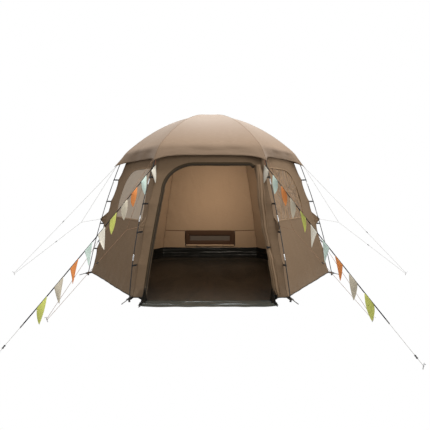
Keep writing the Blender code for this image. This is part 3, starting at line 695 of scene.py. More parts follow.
def painted_top_sheen_group():
    """Paler colour that grows with height, where the sun has bleached the cloth."""
    tree, given, result = new_group(
        "Sun Fading", {"Colour": MIDDLE_GREY, "Faded": MIDDLE_GREY, "Starts": 2.05, "Reach": 0.4},
        {"Colour": "Color"})
    place, height = place_and_height(tree)
    cloud = clouds(tree, place, 2.5, 4.0)
    risen = maths(tree, "DIVIDE", maths(tree, "SUBTRACT", height, given["Starts"]), given["Reach"])
    held = maths(tree, "MINIMUM", maths(tree, "MAXIMUM", risen, 0.0), 1.0)
    share = maths(tree, "MULTIPLY", held, ramp(tree, cloud, 0.2, 0.8, 0.8, 1.0))
    feed(tree, result, {"Colour": blended(tree, share, given["Colour"], given["Faded"])})
    return tree


def braid_group():
    """Braided cover of a line, on its own length and girth."""
    tree, given, result = new_group(
        "Line Braid", {"Line": MIDDLE_GREY, "Fleck": MIDDLE_GREY, "Pitch": 900.0},
        {"Colour": "Color", "Height": "Float"})
    apart = wire(tree, "SeparateXYZ", {0: on_cloth(tree)}).outputs
    strands = [maths(tree, "MULTIPLY", maths(tree, way, apart[0], apart[1]), given["Pitch"])
               for way in ("ADD", "SUBTRACT")]
    plait = maths(tree, "MULTIPLY", *[maths(tree, "SINE", strand) for strand in strands])
    fleck = ramp(tree, plait, 0.45, 0.8)
    feed(tree, result, {"Colour": blended(tree, fleck, given["Line"], given["Fleck"]), "Height": plait})
    return tree


def grain_group():
    """Fine grain of moulded plastic, metal and coated rod, with rubbed high spots."""
    tree, given, result = new_group(
        "Surface Grain",
        {"Colour": MIDDLE_GREY, "Worn": MIDDLE_GREY, "Scale": 300.0, "Stretch": (1.0, 1.0, 1.0),
         "Roughness": 0.4},
        {"Colour": "Color", "Roughness": "Float", "Height": "Float"})
    place = wire(tree, "TexCoord").outputs["Object"]
    fine = clouds(tree, stretched(tree, place, given["Stretch"]), given["Scale"], 3.0)
    rub = clouds(tree, place, 14.0, 4.0, 0.65)
    share = maths(tree, "MULTIPLY", ramp(tree, rub, 0.5, 0.8), ramp(tree, fine, 0.3, 0.7))
    uneven = maths(tree, "MULTIPLY", maths(tree, "SUBTRACT", fine, 0.5), 0.2)
    feed(tree, result, {"Colour": blended(tree, share, given["Colour"], given["Worn"]), "Height": fine,
                        "Roughness": maths(tree, "ADD", given["Roughness"], uneven)})
    return tree


SHARED_GROUPS = {}


def use_group(tree, make_group, inputs):
    """Outputs of a shared group's node; the group is made when a material first asks for it."""
    if make_group not in SHARED_GROUPS:
        SHARED_GROUPS[make_group] = make_group()
    node = tree.nodes.new("ShaderNodeGroup")
    node.node_tree = SHARED_GROUPS[make_group]
    return feed(tree, node, inputs).outputs


def opaque(colour, factor=1.0):
    """Colour times a factor, with full alpha."""
    return (*(min(part * factor, 1.0) for part in colour), 1.0)


def new_material(name, **plain):
    """Material with its shader's plain inputs set, by name with underscores."""
    material = bpy.data.materials.new(name)
    material.use_nodes = True
    tree = material.node_tree
    shader = tree.nodes["Principled BSDF"]
    feed(tree, shader, {key.replace("_", " "): value for key, value in plain.items()})
    return material, tree, shader


def bump(tree, height, distance, strength=1.0, under=None):
    inputs = {"Height": height, "Distance": distance, "Strength": strength}
    if under is not None:
        inputs["Normal"] = under
    return wire(tree, "Bump", inputs).outputs["Normal"]


def weave(tree, colour, yarn, threads, tone):
    return use_group(tree, weave_group, {"Cloth": opaque(colour), "Yarn": opaque(colour, yarn),
                                         "Threads": threads, "Tone": tone})


def creases(tree, scale, stretch, sharpness):
    """Height of creases in the cloth."""
    inputs = {"Scale": scale, "Stretch": stretch, "Sharpness": sharpness}
    return use_group(tree, crease_group, inputs)["Height"]


def dusty(tree, colour, amount, **more):
    """Colour with dust near the ground."""
    return use_group(tree, ground_dust_group, {"Colour": colour, "Amount": amount, **more})["Colour"]


def cloth_material(name, colour, yarn=0.72, threads=1100.0, crease=(2.2, (1.0, 0.5, 1.0), 0.35), depth=0.012,
                   dust=0.25, faded=None, **plain):
    """Woven cloth with its yarns, creases, sun-faded top and the dust that it picks up near the ground."""
    plain.setdefault("Specular_IOR_Level", 0.2)
    material, tree, shader = new_material(name, **plain)
    yarns = weave(tree, colour, yarn, threads, 0.5)
    worn = yarns["Colour"]
    if faded:
        # Painted sheen: paler, greyer colour towards the top of the roof
        worn = use_group(tree, painted_top_sheen_group, {"Colour": worn, "Faded": opaque(faded)})["Colour"]
    broad = bump(tree, creases(tree, *crease), depth)
    feed(tree, shader, {"Base Color": dusty(tree, worn, dust), "Roughness": yarns["Roughness"],
                        "Normal": bump(tree, yarns["Height"], 0.0004, 0.5, broad)})
    return material


def coated_material(name, colour, low, high, crease, depth, **plain):
    """Coated sheet: a fine weave under a skin that shines along its creases, roughness from low to high."""
    material, tree, shader = new_material(name, **plain)
    yarns = weave(tree, colour, 1.5, 1500.0, 0.9)
    folds = creases(tree, *crease)
    broad = bump(tree, folds, depth)
    feed(tree, shader, {"Base Color": dusty(tree, yarns["Colour"], 0.05),
                        "Roughness": ramp(tree, folds, 0.3, 0.9, high, low),
                        "Normal": bump(tree, yarns["Height"], 0.0002, 0.3, broad)})
    return material


def film_material(name, colour, alpha, scale, sharpness, glare, depth):
    """Clear flexible film, slightly milky, with the ripples of a sheet that was rolled up."""
    material, tree, shader = new_material(name, Alpha=alpha, Specular_IOR_Level=0.7)
    folds = creases(tree, scale, (1.2, 0.8, 1.0), sharpness)
    painted_glare = ramp(tree, folds, 0.4, 1.1)
    # Painted glare: colour lighter along the crease ridges, by the glare factor
    feed(tree, shader, {"Base Color": blended(tree, painted_glare, opaque(colour, 0.92), opaque(colour, glare)),
                        "Roughness": ramp(tree, folds, 0.4, 1.2, 0.10, 0.24),
                        "Normal": bump(tree, folds, depth)})
    return material


def mesh_material(name, colour):
    """Insect mesh: fine threads with holes between them."""
    material, tree, shader = new_material(name, Roughness=0.85)
    yarns = weave(tree, colour, 0.6, 2400.0, 0.4)
    feed(tree, shader, {"Base Color": yarns["Colour"],
                        "Alpha": ramp(tree, yarns["Height"], 0.2, 0.9, 0.95, 1.0),
                        "Normal": bump(tree, yarns["Height"], 0.0004)})
    return material


def grain_material(name, colour, worn, roughness, scale=300.0, stretch=(1.0, 1.0, 1.0), **plain):
    """Moulded plastic, metal or coated rod, rubbed at its high spots."""
    material, tree, shader = new_material(name, **plain)
    grain = use_group(tree, grain_group, {"Colour": opaque(colour), "Worn": opaque(worn), "Scale": scale,
                                          "Stretch": stretch, "Roughness": roughness})
    feed(tree, shader, {"Base Color": dusty(tree, grain["Colour"], 0.3, Reach=0.12),
                        "Roughness": grain["Roughness"], "Normal": bump(tree, grain["Height"], 0.0002, 0.4)})
    return material


def line_material(name, colour, fleck):
    """Braided line with flecks."""
    material, tree, shader = new_material(name, Roughness=0.8, Sheen_Weight=0.2)
    braid = use_group(tree, braid_group, {"Line": opaque(colour), "Fleck": opaque(fleck), "Pitch": 1400.0})
    feed(tree, shader, {"Base Color": braid["Colour"], "Normal": bump(tree, braid["Height"], 0.0003)})
    return material


def make_materials():
    """All the tent's materials by name, from its colour settings."""
    tint = bpy.context.scene.yurt_colours
    # Door cloth: the wall cloth made lighter, painted light on the tied-back door
    door_cloth_lit = tuple(part * 1.15 for part in tint.canvas)
    # Window binding: the wall cloth made lighter, painted light along the raised binding
    binding_cloth_lit = tuple(part * 1.3 for part in tint.canvas)
    seam_cloth = tuple(part * 0.88 for part in tint.roof)
    # The two windows are one film: the left copy is lighter, painted reflection of the bright surroundings;
    # the right copy is darker and warmer, painted shade
    left_film_painted_reflection = tuple(part * 1.35 for part in tint.film)
    right_film_painted_shade = tuple(part ** 1.8 for part in tint.film)
    made = {
        "canvas": cloth_material("Wall Cloth", tint.canvas),
        # Inner faces: a lighter copy of the wall cloth, painted glow of light through it
        "inside_glow": cloth_material("Wall Cloth Inside", tint.inside_glow, dust=0.0),
        # Roof cloth: a lighter, greyer copy of the wall cloth, blended further towards the painted sheen
        # colour at its top
        "roof": cloth_material("Roof Cloth", tint.roof, dust=0.0, crease=(1.6, (1.0, 0.6, 1.0), 0.2),
                               depth=0.010, faded=tint.roof_painted_sheen, Specular_IOR_Level=0.3, Sheen_Weight=0.12,
                               Sheen_Roughness=0.35),
        "roof_seam": cloth_material("Roof Seam", seam_cloth, dust=0.0),
        "binding_light": cloth_material("Window Binding", binding_cloth_lit),
        "curtain": cloth_material("Door Cloth", door_cloth_lit),
        "band": cloth_material("Door Band", tint.band, crease=(9.0, (1.0, 0.3, 1.0), 0.4), depth=0.006),
        "frame": cloth_material("Vent Border", tint.frame, dust=0.0),
        "binding": cloth_material("Black Binding", tint.plastic, yarn=1.8, threads=1800.0, depth=0.002),
        "webbing": cloth_material("Black Webbing", tint.plastic, yarn=2.4, threads=2600.0, depth=0.001),
        "mesh": mesh_material("Vent Mesh", tint.mesh),
        "film_left": film_material("Window Film Left", left_film_painted_reflection, alpha=0.80, scale=1.2, sharpness=0.3,
                                   glare=1.05, depth=0.004),
        "film_right": film_material("Window Film Right", right_film_painted_shade, alpha=0.74, scale=3.6, sharpness=1.0,
                                    glare=1.6, depth=0.020),
        "floor": coated_material("Groundsheet Floor", tint.floor, 0.38, 0.62,
                                 (1.3, (1.0, 0.4, 1.0), 0.3), 0.010),
        "upstand": coated_material("Groundsheet Wall", tint.upstand, 0.40, 0.58,
                                   (2.4, (0.5, 3.0, 1.0), 1.0), 0.008, Specular_IOR_Level=0.3),
        "lip": coated_material("Doorway Flap", tint.lip, 0.34, 0.56, (2.4, (0.5, 3.0, 1.0), 0.8), 0.012),
        "rod": grain_material("Glass-fibre Rod", tint.rod, (0.07, 0.07, 0.075), 0.32, 500.0,
                              (1.0, 1.0, 0.05), Coat_Weight=0.2),
        "steel": grain_material("Joint Sleeve", tint.steel, (0.5, 0.5, 0.52), 0.30, 500.0,
                                (1.0, 1.0, 0.08), Metallic=0.85),
        "plastic": grain_material("Moulded Plastic", tint.plastic, (0.06, 0.06, 0.065), 0.42),
        "line": line_material("Guy Line", tint.line, (0.25, 0.24, 0.23)),
        "front_line": line_material("Front Guy Line", tint.front_line, (0.2, 0.13, 0.08)),
        "tie": line_material("Tie Cord", tint.tie, (0.25, 0.06, 0.03)),
    }
    for name in PENNANT_COLOURS:
        made[name] = cloth_material(name.title() + " Pennant", getattr(tint, name), yarn=0.82,
                                    threads=1400.0, crease=(8.0, (1.0, 0.6, 1.0), 0.3), depth=0.003, dust=0.1)
    return made


MATERIALS = {}


def cloths(*names):
    """Materials by their short names; all are made together the first time."""
    if not MATERIALS:
        MATERIALS.update(make_materials())
    return [MATERIALS[name] for name in names]


# Outlines on the flat walls

def quarter_arch(centre, reach, rise, power, steps=16):
    """Quarter of an arch up from its left foot; a power of 2 is round, more is squarer."""
    points = []
    for step in range(steps + 1):
        turn = math.pi / 2 * step / steps
        across = math.cos(turn) ** (2 / power)
        up = math.sin(turn) ** (2 / power)
        points.append((centre[0] - reach * across, centre[1] + rise * up))
    return points


def door_left(height):
    return DOOR_LEFT_MARGIN - bowed(WALL_SHAPE, height) / 2


def door_right(height):
    return bowed(WALL_SHAPE, height) / 2 - DOOR_RIGHT_MARGIN


def jamb_heights():
    """Heights up a side of the doorway, from just under the wall's foot."""
    foot = WALL_BOTTOM - 0.03
    return [foot + (DOOR_SPRING - foot) * step / 12 for step in range(12)]


def door_outline():
    """Doorway from its left foot over the arch to its right foot, seen from outside."""
    right = (DOOR_SPRING, *reversed(jamb_heights()))
    return door_band_path() + [(door_right(height), height) for height in right]


def door_band_path():
    """Left side, arch and nearly square right corner of the doorway, which the band follows."""
    left = [(door_left(height), height) for height in jamb_heights()]
    centre = (DOOR_ARCH_REACH + door_left(DOOR_SPRING), DOOR_SPRING)
    arch = quarter_arch(centre, DOOR_ARCH_REACH, DOOR_TOP - DOOR_SPRING, 2.0)
    corner = [(door_right(DOOR_TOP) - DOOR_CORNER, DOOR_TOP),
              (door_right(DOOR_TOP - DOOR_CORNER), DOOR_TOP - DOOR_CORNER)]
    return left + arch + corner


def window_outline(mirror, inset=0.0):
    """Window from its far foot over the arch to its near foot; mirror is 1, or -1 on the right."""
    near_low = bowed(WALL_SHAPE, WINDOW_BOTTOM) / 2 - WINDOW_NEAR_MARGIN - inset
    reach = WINDOW_ARCH_END - WINDOW_FAR_EDGE - inset
    rise = WINDOW_TOP - WINDOW_SPRING - inset
    arch = quarter_arch((WINDOW_ARCH_END, WINDOW_SPRING), reach, rise, WINDOW_ARCH_POWER)
    points = [(WINDOW_FAR_FOOT + inset, WINDOW_BOTTOM + inset)] + arch
    points += [(WINDOW_NEAR_TOP - inset, WINDOW_TOP - inset), (near_low, WINDOW_BOTTOM + inset)]
    return [(mirror * across, up) for across, up in points]


def vent_outline(inset=0.0):
    half, low, high = VENT_HALF_WIDTH - inset, VENT_BOTTOM + inset, VENT_TOP - inset
    return [(-half, low), (-half, high), (half, high), (half, low)]


def holds(outline, spot):
    """Whether a closed outline holds a spot."""
    inside = False
    for (ax, ay), (bx, by) in zip(outline, outline[1:] + outline[:1]):
        if (ay > spot[1]) != (by > spot[1]) and spot[0] < (bx - ax) * (spot[1] - ay) / (by - ay) + ax:
            inside = not inside
    return inside


def nearest_on(outline, spot):
    """Spot on a closed outline that lies nearest."""
    best = None
    for start, end in zip(outline, outline[1:] + outline[:1]):
        start, end = Vector(start), Vector(end)
        way = end - start
        share = min(max((spot - start).dot(way) / max(way.length_squared, 1e-12), 0.0), 1.0)
        point = start + way * share
        if best is None or (point - spot).length < (best - spot).length:
            best = point
    return best


def trim(build, outline, surface, reach, keep_inside=False):
    """Cuts a laid sheet along an outline on the flat cloth and draws its new rim onto that outline."""
    flat = build.loops.layers.uv["flat"]
    gone = []
    for face in build.faces:
        middle = sum((loop[flat].uv for loop in face.loops), Vector((0.0, 0.0))) / len(face.loops)
        if holds(outline, middle) != keep_inside:
            gone.append(face)
    bmesh.ops.delete(build, geom=gone, context="FACES")
    rim = {vert: vert.link_loops[0][flat].uv.copy() for vert in build.verts if vert.is_boundary}
    moved = {}
    for vert, spot in rim.items():
        target = nearest_on(outline, spot)
        if (target - spot).length < reach:
            moved[vert] = target
    for index, corner in enumerate(outline):
        before = Vector(corner) - Vector(outline[index - 1])
        after = Vector(outline[(index + 1) % len(outline)]) - Vector(corner)
        if before.angle(after, 0.0) > 0.4 and moved:
            closest = min(moved, key=lambda vert: (rim[vert] - Vector(corner)).length)
            if (rim[closest] - Vector(corner)).length < reach * 1.5:
                moved[closest] = Vector(corner)
    for vert, target in moved.items():
        vert.co = surface(target.x, target.y)
        for loop in vert.link_loops:
            loop[flat].uv = target
    return build


def spread(points, spacing):
    """Points of a path spaced evenly along it."""
    points = [Vector(point) for point in points]
    runs = run_lengths(points)
    count = max(round(runs[-1] / spacing), 1)
    result = []
    at = 0
    for step in range(count + 1):
        run = runs[-1] * step / count
        while at < len(points) - 2 and runs[at + 1] < run:
            at += 1
        share = (run - runs[at]) / max(runs[at + 1] - runs[at], 1e-9)
        result.append(points[at].lerp(points[at + 1], share))
    return result


def strip(side, path, inner, outer, lift, spacing=0.03, rows=3, closed=False):
    """Band of cloth sewn on a wall along a flat path, from inner to outer beside it."""
    if closed:
        path = path + path[:1]
    points = spread(path, spacing)
    normals = []
    for index in range(len(points)):
        if closed and index in (0, len(points) - 1):
            way = points[1] - points[-2]
        else:
            way = points[min(index + 1, len(points) - 1)] - points[max(index - 1, 0)]
        normals.append(Vector((-way.y, way.x)).normalized())

    def place(along, across):
        index = round(along * (len(points) - 1))
        spot = points[index] + normals[index] * (inner + (outer - inner) * across)
        point = wall_point(side, spot.x, max(spot.y, WALL_BOTTOM), lift * (1.0 + 0.3 * arc(across)))
        return point, (index * spacing, across * abs(outer - inner))

    build = laid_sheet(len(points) - 1, rows, place, closed=closed)
    return face_away(build)


# Roof

def crowded(even):
    """Column from -1 to 1, closer together near the ribs."""
    return math.copysign(1 - (1 - abs(even)) ** 1.6, even)


def canopy_mesh():
    """One sheet over all six gores: dome, shoulder and valance."""
    order = sorted(SIDES, key=SIDES.get)
    gore, dome, skirt = 44, 44, 14

    def place(around, down):
        step = round(around * gore * len(order))
        index = min(step // gore, len(order) - 1)
        column = crowded((step - index * gore) / gore * 2 - 1)
        row = round((1.0 - down) * (dome + skirt))
        share = 1.0 - (1.0 - row / dome) ** 1.6 if row <= dome else 1.0 + ((row - dome) / skirt) ** 1.3
        point = roof_place(order[index], column, share)
        run = share * SHOULDER_RADIUS if share <= 1.0 else SHOULDER_RADIUS + (share - 1.0) * 0.2
        return point, (index * 1.6 + column * 0.75 * min(share, 1.0), run)

    build = laid_sheet(gore * len(order), dome + skirt, place, closed=True)
    return face_away(build)


def rib_seam(corner, width):
    """Felled seam over one rib, from the top of the dome to the tip of its ear."""
    before, after = walls_at(corner)

    def place(across, down):
        offset = (across - 0.5) * width
        share = 0.06 + 1.93 * down
        radius = SHOULDER_RADIUS * min(share, 1.0) + (TIP_RADIUS - SHOULDER_RADIUS) * max(share - 1.0, 0.0)
        column = 1.0 - abs(offset) / (radius / 2)
        side, column = (before, column) if offset < 0 else (after, -column)
        return roof_place(side, column, share, 0.0008), (offset, share * SHOULDER_RADIUS)

    return face_away(laid_sheet(4, 70, place))


def hem_path():
    """Round of points along the valance's hem."""
    points = []
    for side in sorted(SIDES, key=SIDES.get):
        for step in range(40):
            points.append(roof_place(side, crowded(step / 20 - 1), 2.0))
    return points + points[:1]


def make_roof():
    shape = bpy.context.scene.yurt_shape
    # The canopy's inner face takes the lighter inside colour, a painted glow
    roof = put("roof_canopy", canopy_mesh(), cloths("roof", "inside_glow"),
               ["roof_panel_" + side for side in SIDES], shape.cloth, 1)
    seams = [rib_seam(corner, shape.seam) for corner in CORNERS]
    felled = put("roof_seams", joined(seams), cloths("roof_seam"), thick=BINDING_THICK)
    hem = put("roof_hem", rod_mesh(hem_path(), 0.0028, sides=8), cloths("roof_seam"))


# Walls

def wall_mesh(side, outline=None):
    """Hung wall, cut along the outline of its opening."""
    shape = bpy.context.scene.yurt_shape
    columns = round(bowed(WALL_SHAPE, WALL_BOTTOM) / shape.grid)
    rows = round((WALL_TOP - WALL_BOTTOM) / shape.grid)

    def place(across, up):
        height = WALL_BOTTOM + (WALL_TOP - WALL_BOTTOM) * up
        spot = (across * 2 - 1) * bowed(WALL_SHAPE, height) / 2
        return wall_point(side, spot, height), (spot, height)

    build = laid_sheet(columns, rows, place)
    if outline:
        trim(build, outline, lambda across, up: wall_point(side, across, up), shape.grid * 1.1)
    return face_away(build)


def panel_mesh(side, outline, lift, ripple, grid=0.02):
    """Panel that fills an outline in a wall, with small ripples of its own."""
    xs, ys = [point[0] for point in outline], [point[1] for point in outline]
    low, high = (min(xs), min(ys)), (max(xs), max(ys))

    def surface(across, up):
        broad = ripples(across * 4.0, up * 2.0, SIDES[side] * 0.1)
        slant = ripples((across + up * 0.6) * 7.0, (up - across * 0.4) * 2.5, 4.0)
        return wall_point(side, across, up, lift - ripple * (1.0 + broad + 0.8 * slant))

    def place(across, up):
        spot = (low[0] + (high[0] - low[0]) * across, low[1] + (high[1] - low[1]) * up)
        return surface(*spot), spot

    columns, rows = round((high[0] - low[0]) / grid), round((high[1] - low[1]) / grid)
    build = laid_sheet(max(columns, 2), max(rows, 2), place)
    trim(build, outline, surface, grid * 1.1, keep_inside=True)
    return face_away(build)


def make_walls():
    shape = bpy.context.scene.yurt_shape
    holes = {"front": door_outline(), "front_left": window_outline(1), "front_right": window_outline(-1),
             "back": vent_outline()}
    half = bowed(WALL_SHAPE, WALL_BOTTOM) / 2
    for side in SIDES:
        feet = [(-half, half)]
        if side == "front":
            feet = [(-half, door_left(WALL_BOTTOM)), (door_right(WALL_BOTTOM), half)]
        paths = [[(start, WALL_BOTTOM), (end, WALL_BOTTOM)] for start, end in feet]
        strips = joined([strip(side, path, 0.0, HEM_WIDTH, lift=0.0012) for path in paths])
        hem = put(side + "_wall_hem", strips, cloths("binding"), thick=BINDING_THICK)
        # The wall's inner face takes the lighter inside colour, a painted glow
        wall = put(side + "_wall_cloth", wall_mesh(side, holes.get(side)), cloths("canvas", "inside_glow"),
                   [side + "_wall"], shape.cloth, 1)


def corner_point(corner, height, sunk=0.0):
    """Point on a wall corner, sunk into it by a little where something is sewn on."""
    return polar(bowed(WALL_SHAPE, height) + corner_pull(height) - sunk, CORNERS[corner], height)


def corner_seam(corner):
    heights = [WALL_BOTTOM + (WALL_TOP - WALL_BOTTOM) * step / 89 for step in range(90)]
    return rod_mesh([corner_point(corner, height) for height in heights], 0.0032, sides=8)


def make_seams():
    corners = joined([corner_seam(corner) for corner in CORNERS])
    put("wall_corner_seams", corners, cloths("roof_seam"))
    half = bowed(WALL_SHAPE, VENT_TOP) / 2 - 0.01
    shares = [step / 20 - 1 for step in range(41)]
    sagging = [(half * share, VENT_TOP + 0.012 - 0.02 * (1 - share ** 2)) for share in shares]
    put("lower_panel_seam", strip("back", sagging, -0.006, 0.006, lift=-0.0035), cloths("frame"),
        thick=BINDING_THICK)


def make_windows():
    for name, side, mirror, ripple in (("window_left", "front_left", 1, 0.0010),
                                       ("window_right", "front_right", -1, 0.0032)):
        tuck = panel_mesh(side, window_outline(mirror, inset=-0.008), lift=-0.0022, ripple=ripple)
        film = put(name + "_film", tuck, cloths(name.replace("window", "film")), [name])
        rim = strip(side, window_outline(mirror), -0.010, 0.010, lift=0.0016, closed=True)
        put(name + "_binding", rim, cloths("binding_light"), thick=BINDING_THICK)


def make_vent():
    border = strip("back", vent_outline(inset=0.05), -0.055, 0.055, lift=-0.0040, closed=True)
    put("vent_border", border, cloths("frame"), thick=BINDING_THICK)
    mesh = panel_mesh("back", vent_outline(inset=-0.004), lift=-0.0022, ripple=0.0006)
    net = put("vent_net", mesh, cloths("mesh"), ["back_vent_mesh"])
    inner = bowed(WALL_SHAPE, VENT_BOTTOM) * HALF_SIDE_COSINE - 0.018

    def roll_place(around, along):
        turn = around * math.tau * 2.6
        radius = 0.008 + 0.014 * around + 0.0015 * ripples(along * 9.0, turn, 0.0)
        across = (along * 2 - 1) * (VENT_HALF_WIDTH - 0.02)
        centre = Vector((across, inner, VENT_BOTTOM + 0.006 + 0.002 * math.sin(along * 12.0)))
        return centre + Vector((0.0, math.cos(turn), math.sin(turn))) * radius, (turn * radius, across)

    # The rolled cover takes the lighter inside colour, a painted glow
    roll = put("vent_cover_roll", laid_sheet(60, 60, roll_place), cloths("inside_glow"),
               ["back_vent_cover"], STRAP_THICK)
    toggles = []
    for across in (-VENT_TOGGLE_AT, VENT_TOGGLE_AT):
        middle = Vector((across, inner - 0.027, VENT_BOTTOM))
        toggles.append(toggle_mesh(middle, radius=0.0055, shank=0.017))
        centre = Vector((across, inner, VENT_BOTTOM))
        loop = ring_path(centre, Vector((0.0, ROLL_LOOP, 0.0)), UP * ROLL_LOOP, 20)
        toggles.append(rod_mesh(loop, THIN_LINE, sides=6))
    knots = put("vent_toggles", joined(toggles), cloths("plastic"))


# Door

def make_door():
    shape = bpy.context.scene.yurt_shape
    band = strip("front", door_band_path(), -0.020, shape.band - 0.020, lift=0.0022)
    put("door_band", band, cloths("band"), thick=TAPE_THICK)
    zip_line = strip("front", door_band_path(), -0.004, 0.002, lift=0.0042)
    put("door_zip", zip_line, cloths("binding"), thick=STRAP_THICK)

    heights = [row[1] for row in BUNDLE]

    def bundle_at(height):
        for (x0, z0, r0), (x1, z1, r1) in zip(BUNDLE, BUNDLE[1:]):
            if z0 >= height >= z1:
                share = ease((z0 - height) / (z0 - z1))
                return x0 + (x1 - x0) * share, r0 + (r1 - r0) * share
        return BUNDLE[-1][0], BUNDLE[-1][2]

    def place(across, up):
        height = heights[-1] + (heights[0] - heights[-1]) * up
        middle, radius = bundle_at(height)
        layer = across * shape.layers
        deep = (layer + math.sin(math.tau * layer) / math.tau) / shape.layers
        half = radius * (1.0 - 0.3 * (1.0 - 2.0 * deep) ** 2)
        aside = -math.cos(math.pi * layer)
        wander = 1.2 * ripples(height * 1.3, 5.0, 2.0)
        fold = math.sin(aside * 6.4 + wander * 2.0 + 0.6)
        fold += 0.6 * math.sin(aside * 14.0 - wander * 3.0 + height)
        fold *= 0.29 * radius * (0.7 + 0.5 * ripples(aside * 2.0, height * 2.0, 7.0))
        belly = 0.35 * radius * (1.0 - aside ** 2) * (1.0 - deep)
        slip = 0.010 * ripples(layer * 0.9, height * 1.5, 11.0)
        face = bowed(WALL_SHAPE, height - radius / 2) * HALF_SIDE_COSINE + 0.006
        before = radius * (1.0 - deep)
        out = face + 1.6 * before + max(fold, -0.9 * before) * (1.0 - 0.5 * deep) + belly
        return Vector((middle + half * aside + slip, -out, height)), (across * 1.35, height)

    drape = face_away(laid_sheet(shape.layers * 18, 90, place))
    # The door takes the lighter copy of the wall cloth, painted light
    door = put("door_curtain", drape, cloths("curtain"), ["door_panel"], shape.cloth)
    middle, radius = bundle_at(TIE_HEIGHT)
    face = bowed(WALL_SHAPE, TIE_HEIGHT - 0.01) * HALF_SIDE_COSINE + radius
    centre = Vector((middle, -face - 0.005, TIE_HEIGHT))
    loop = ring_path(centre, Vector((0.028, 0.0, 0.0)), Vector((0.0, 0.030, 0.0)), TIE_STEPS)

    def tie_place(around, up):
        point = loop[round(around * TIE_STEPS)]
        return point + UP * (up - 0.5) * TIE_WIDTH, (around * TIE_ROUND, up * TIE_WIDTH)

    tie = put("door_tie", laid_sheet(TIE_STEPS, 2, tie_place, closed=True), cloths("webbing"),
              thick=STRAP_THICK)
    toggle = centre + Vector((-0.012, -0.037, -0.002))
    knob = put("door_toggle", toggle_mesh(toggle, radius=0.0065, shank=0.016), cloths("plastic"))


# Groundsheet

def tray_edge(radius, around):
    """Point on the floor's six-sided edge; around is 0 to 6, from azimuth 0."""
    side = int(around) % 6
    return polar(radius, side * 60, 0.0).lerp(polar(radius, side * 60 + 60, 0.0), around - int(around))


def turn_up(spot):
    """Share of its full rise that the floor's edge has, none across the doorway."""
    if spot.y > 0.0 or not 240 < math.degrees(math.atan2(spot.y, spot.x)) % 360 < 300:
        return 1.0
    beyond = max(DOOR_GAP[0] - spot.x, spot.x - DOOR_GAP[1])
    return ease(beyond / 0.05)


def floor_mesh():
    """Floor of the tray, a little uneven, with its edge turned up."""
    flat = TRAY_RADIUS - TRAY_TURN_UP[0]

    def place(around, out):
        step = round(around * 240) / 40
        radius = (TRAY_RADIUS - 0.002) * out
        spot = tray_edge(radius, step)
        swell = swells(spot.x * 2.2, spot.y * 1.4, 3.0)
        rise = TRAY_TURN_UP[1] * max(radius - flat, 0.0) / TRAY_TURN_UP[0] * turn_up(spot)
        lift = 0.0045 + 0.0022 * max(swell, -0.8) * min(4 * (1 - out), 1.0)
        return spot + UP * (lift + rise), (spot.x, spot.y)

    return face_away(laid_sheet(240, 56, place, closed=True), FAR_BELOW)


def upstand_route():
    """Flat route of the tray's wall, from the right of the doorway round the back to its left."""
    front = TRAY_RADIUS * HALF_SIDE_COSINE
    corners = [polar(TRAY_RADIUS, angle, 0.0) for angle in (300, 360, 420, 480, 540, 600)]
    return [Vector((DOOR_GAP[1], -front, 0.0))] + corners + [Vector((DOOR_GAP[0], -front, 0.0))]


def upstand_mesh():
    """Standing wall of the tray, slack between its corners."""
    route = spread(upstand_route(), 0.03)

    def place(along, up):
        index = round(along * (len(route) - 1))
        foot = route[index]
        azimuth = math.degrees(math.atan2(foot.y, foot.x)) % 60
        corner = peak(min(azimuth, 60 - azimuth), 2.2)
        inward = -foot.normalized()
        run = index * 0.03
        lean = (TRAY_RADIUS - TRAY_TOP_RADIUS) * up * HALF_SIDE_COSINE / (HALF_SIDE_COSINE + 0.1)
        slack = 0.010 * ripples(run * 1.8, up * 7.0, 1.0) + 0.006 * math.sin(up * 21.0 + run * 0.9)
        fold = slack * arc(min(up * 1.1, 1.0)) + 0.010 * corner * arc(up)
        drop = 0.004 * ripples(run * 2.5, 0.0, 8.0) * up
        point = foot + inward * (lean + 0.004 + max(fold, -0.003))
        low = 0.004 + TRAY_TURN_UP[1] * turn_up(foot)
        return point + UP * (low + (TRAY_HEIGHT - 0.002 - low) * up + drop), (run, up * TRAY_HEIGHT)

    return face_away(laid_sheet(len(route) - 1, 16, place))


def gusset_mesh(end, way, reach):
    """Fold of sheet that joins an end of the laid-out flap to the tray's standing wall."""
    foot = Vector((end, -TRAY_RADIUS * HALF_SIDE_COSINE - 0.028, 0.0))
    top = foot + Vector((0.0, 0.012, 0.17))
    tip = Vector((end, -reach, 0.006))

    def place(across, up):
        low = foot.lerp(tip, across) + UP * 0.003
        point = low.lerp(top.lerp(tip, across ** 0.8), up)
        bulge = 0.065 * (1.0 - 0.5 * up) * (1.0 - across) ** 0.6 + 0.004
        return point - Vector((way * bulge, 0.0, 0.0)), (across * 0.3, up * 0.2)

    return laid_sheet(16, 10, place)


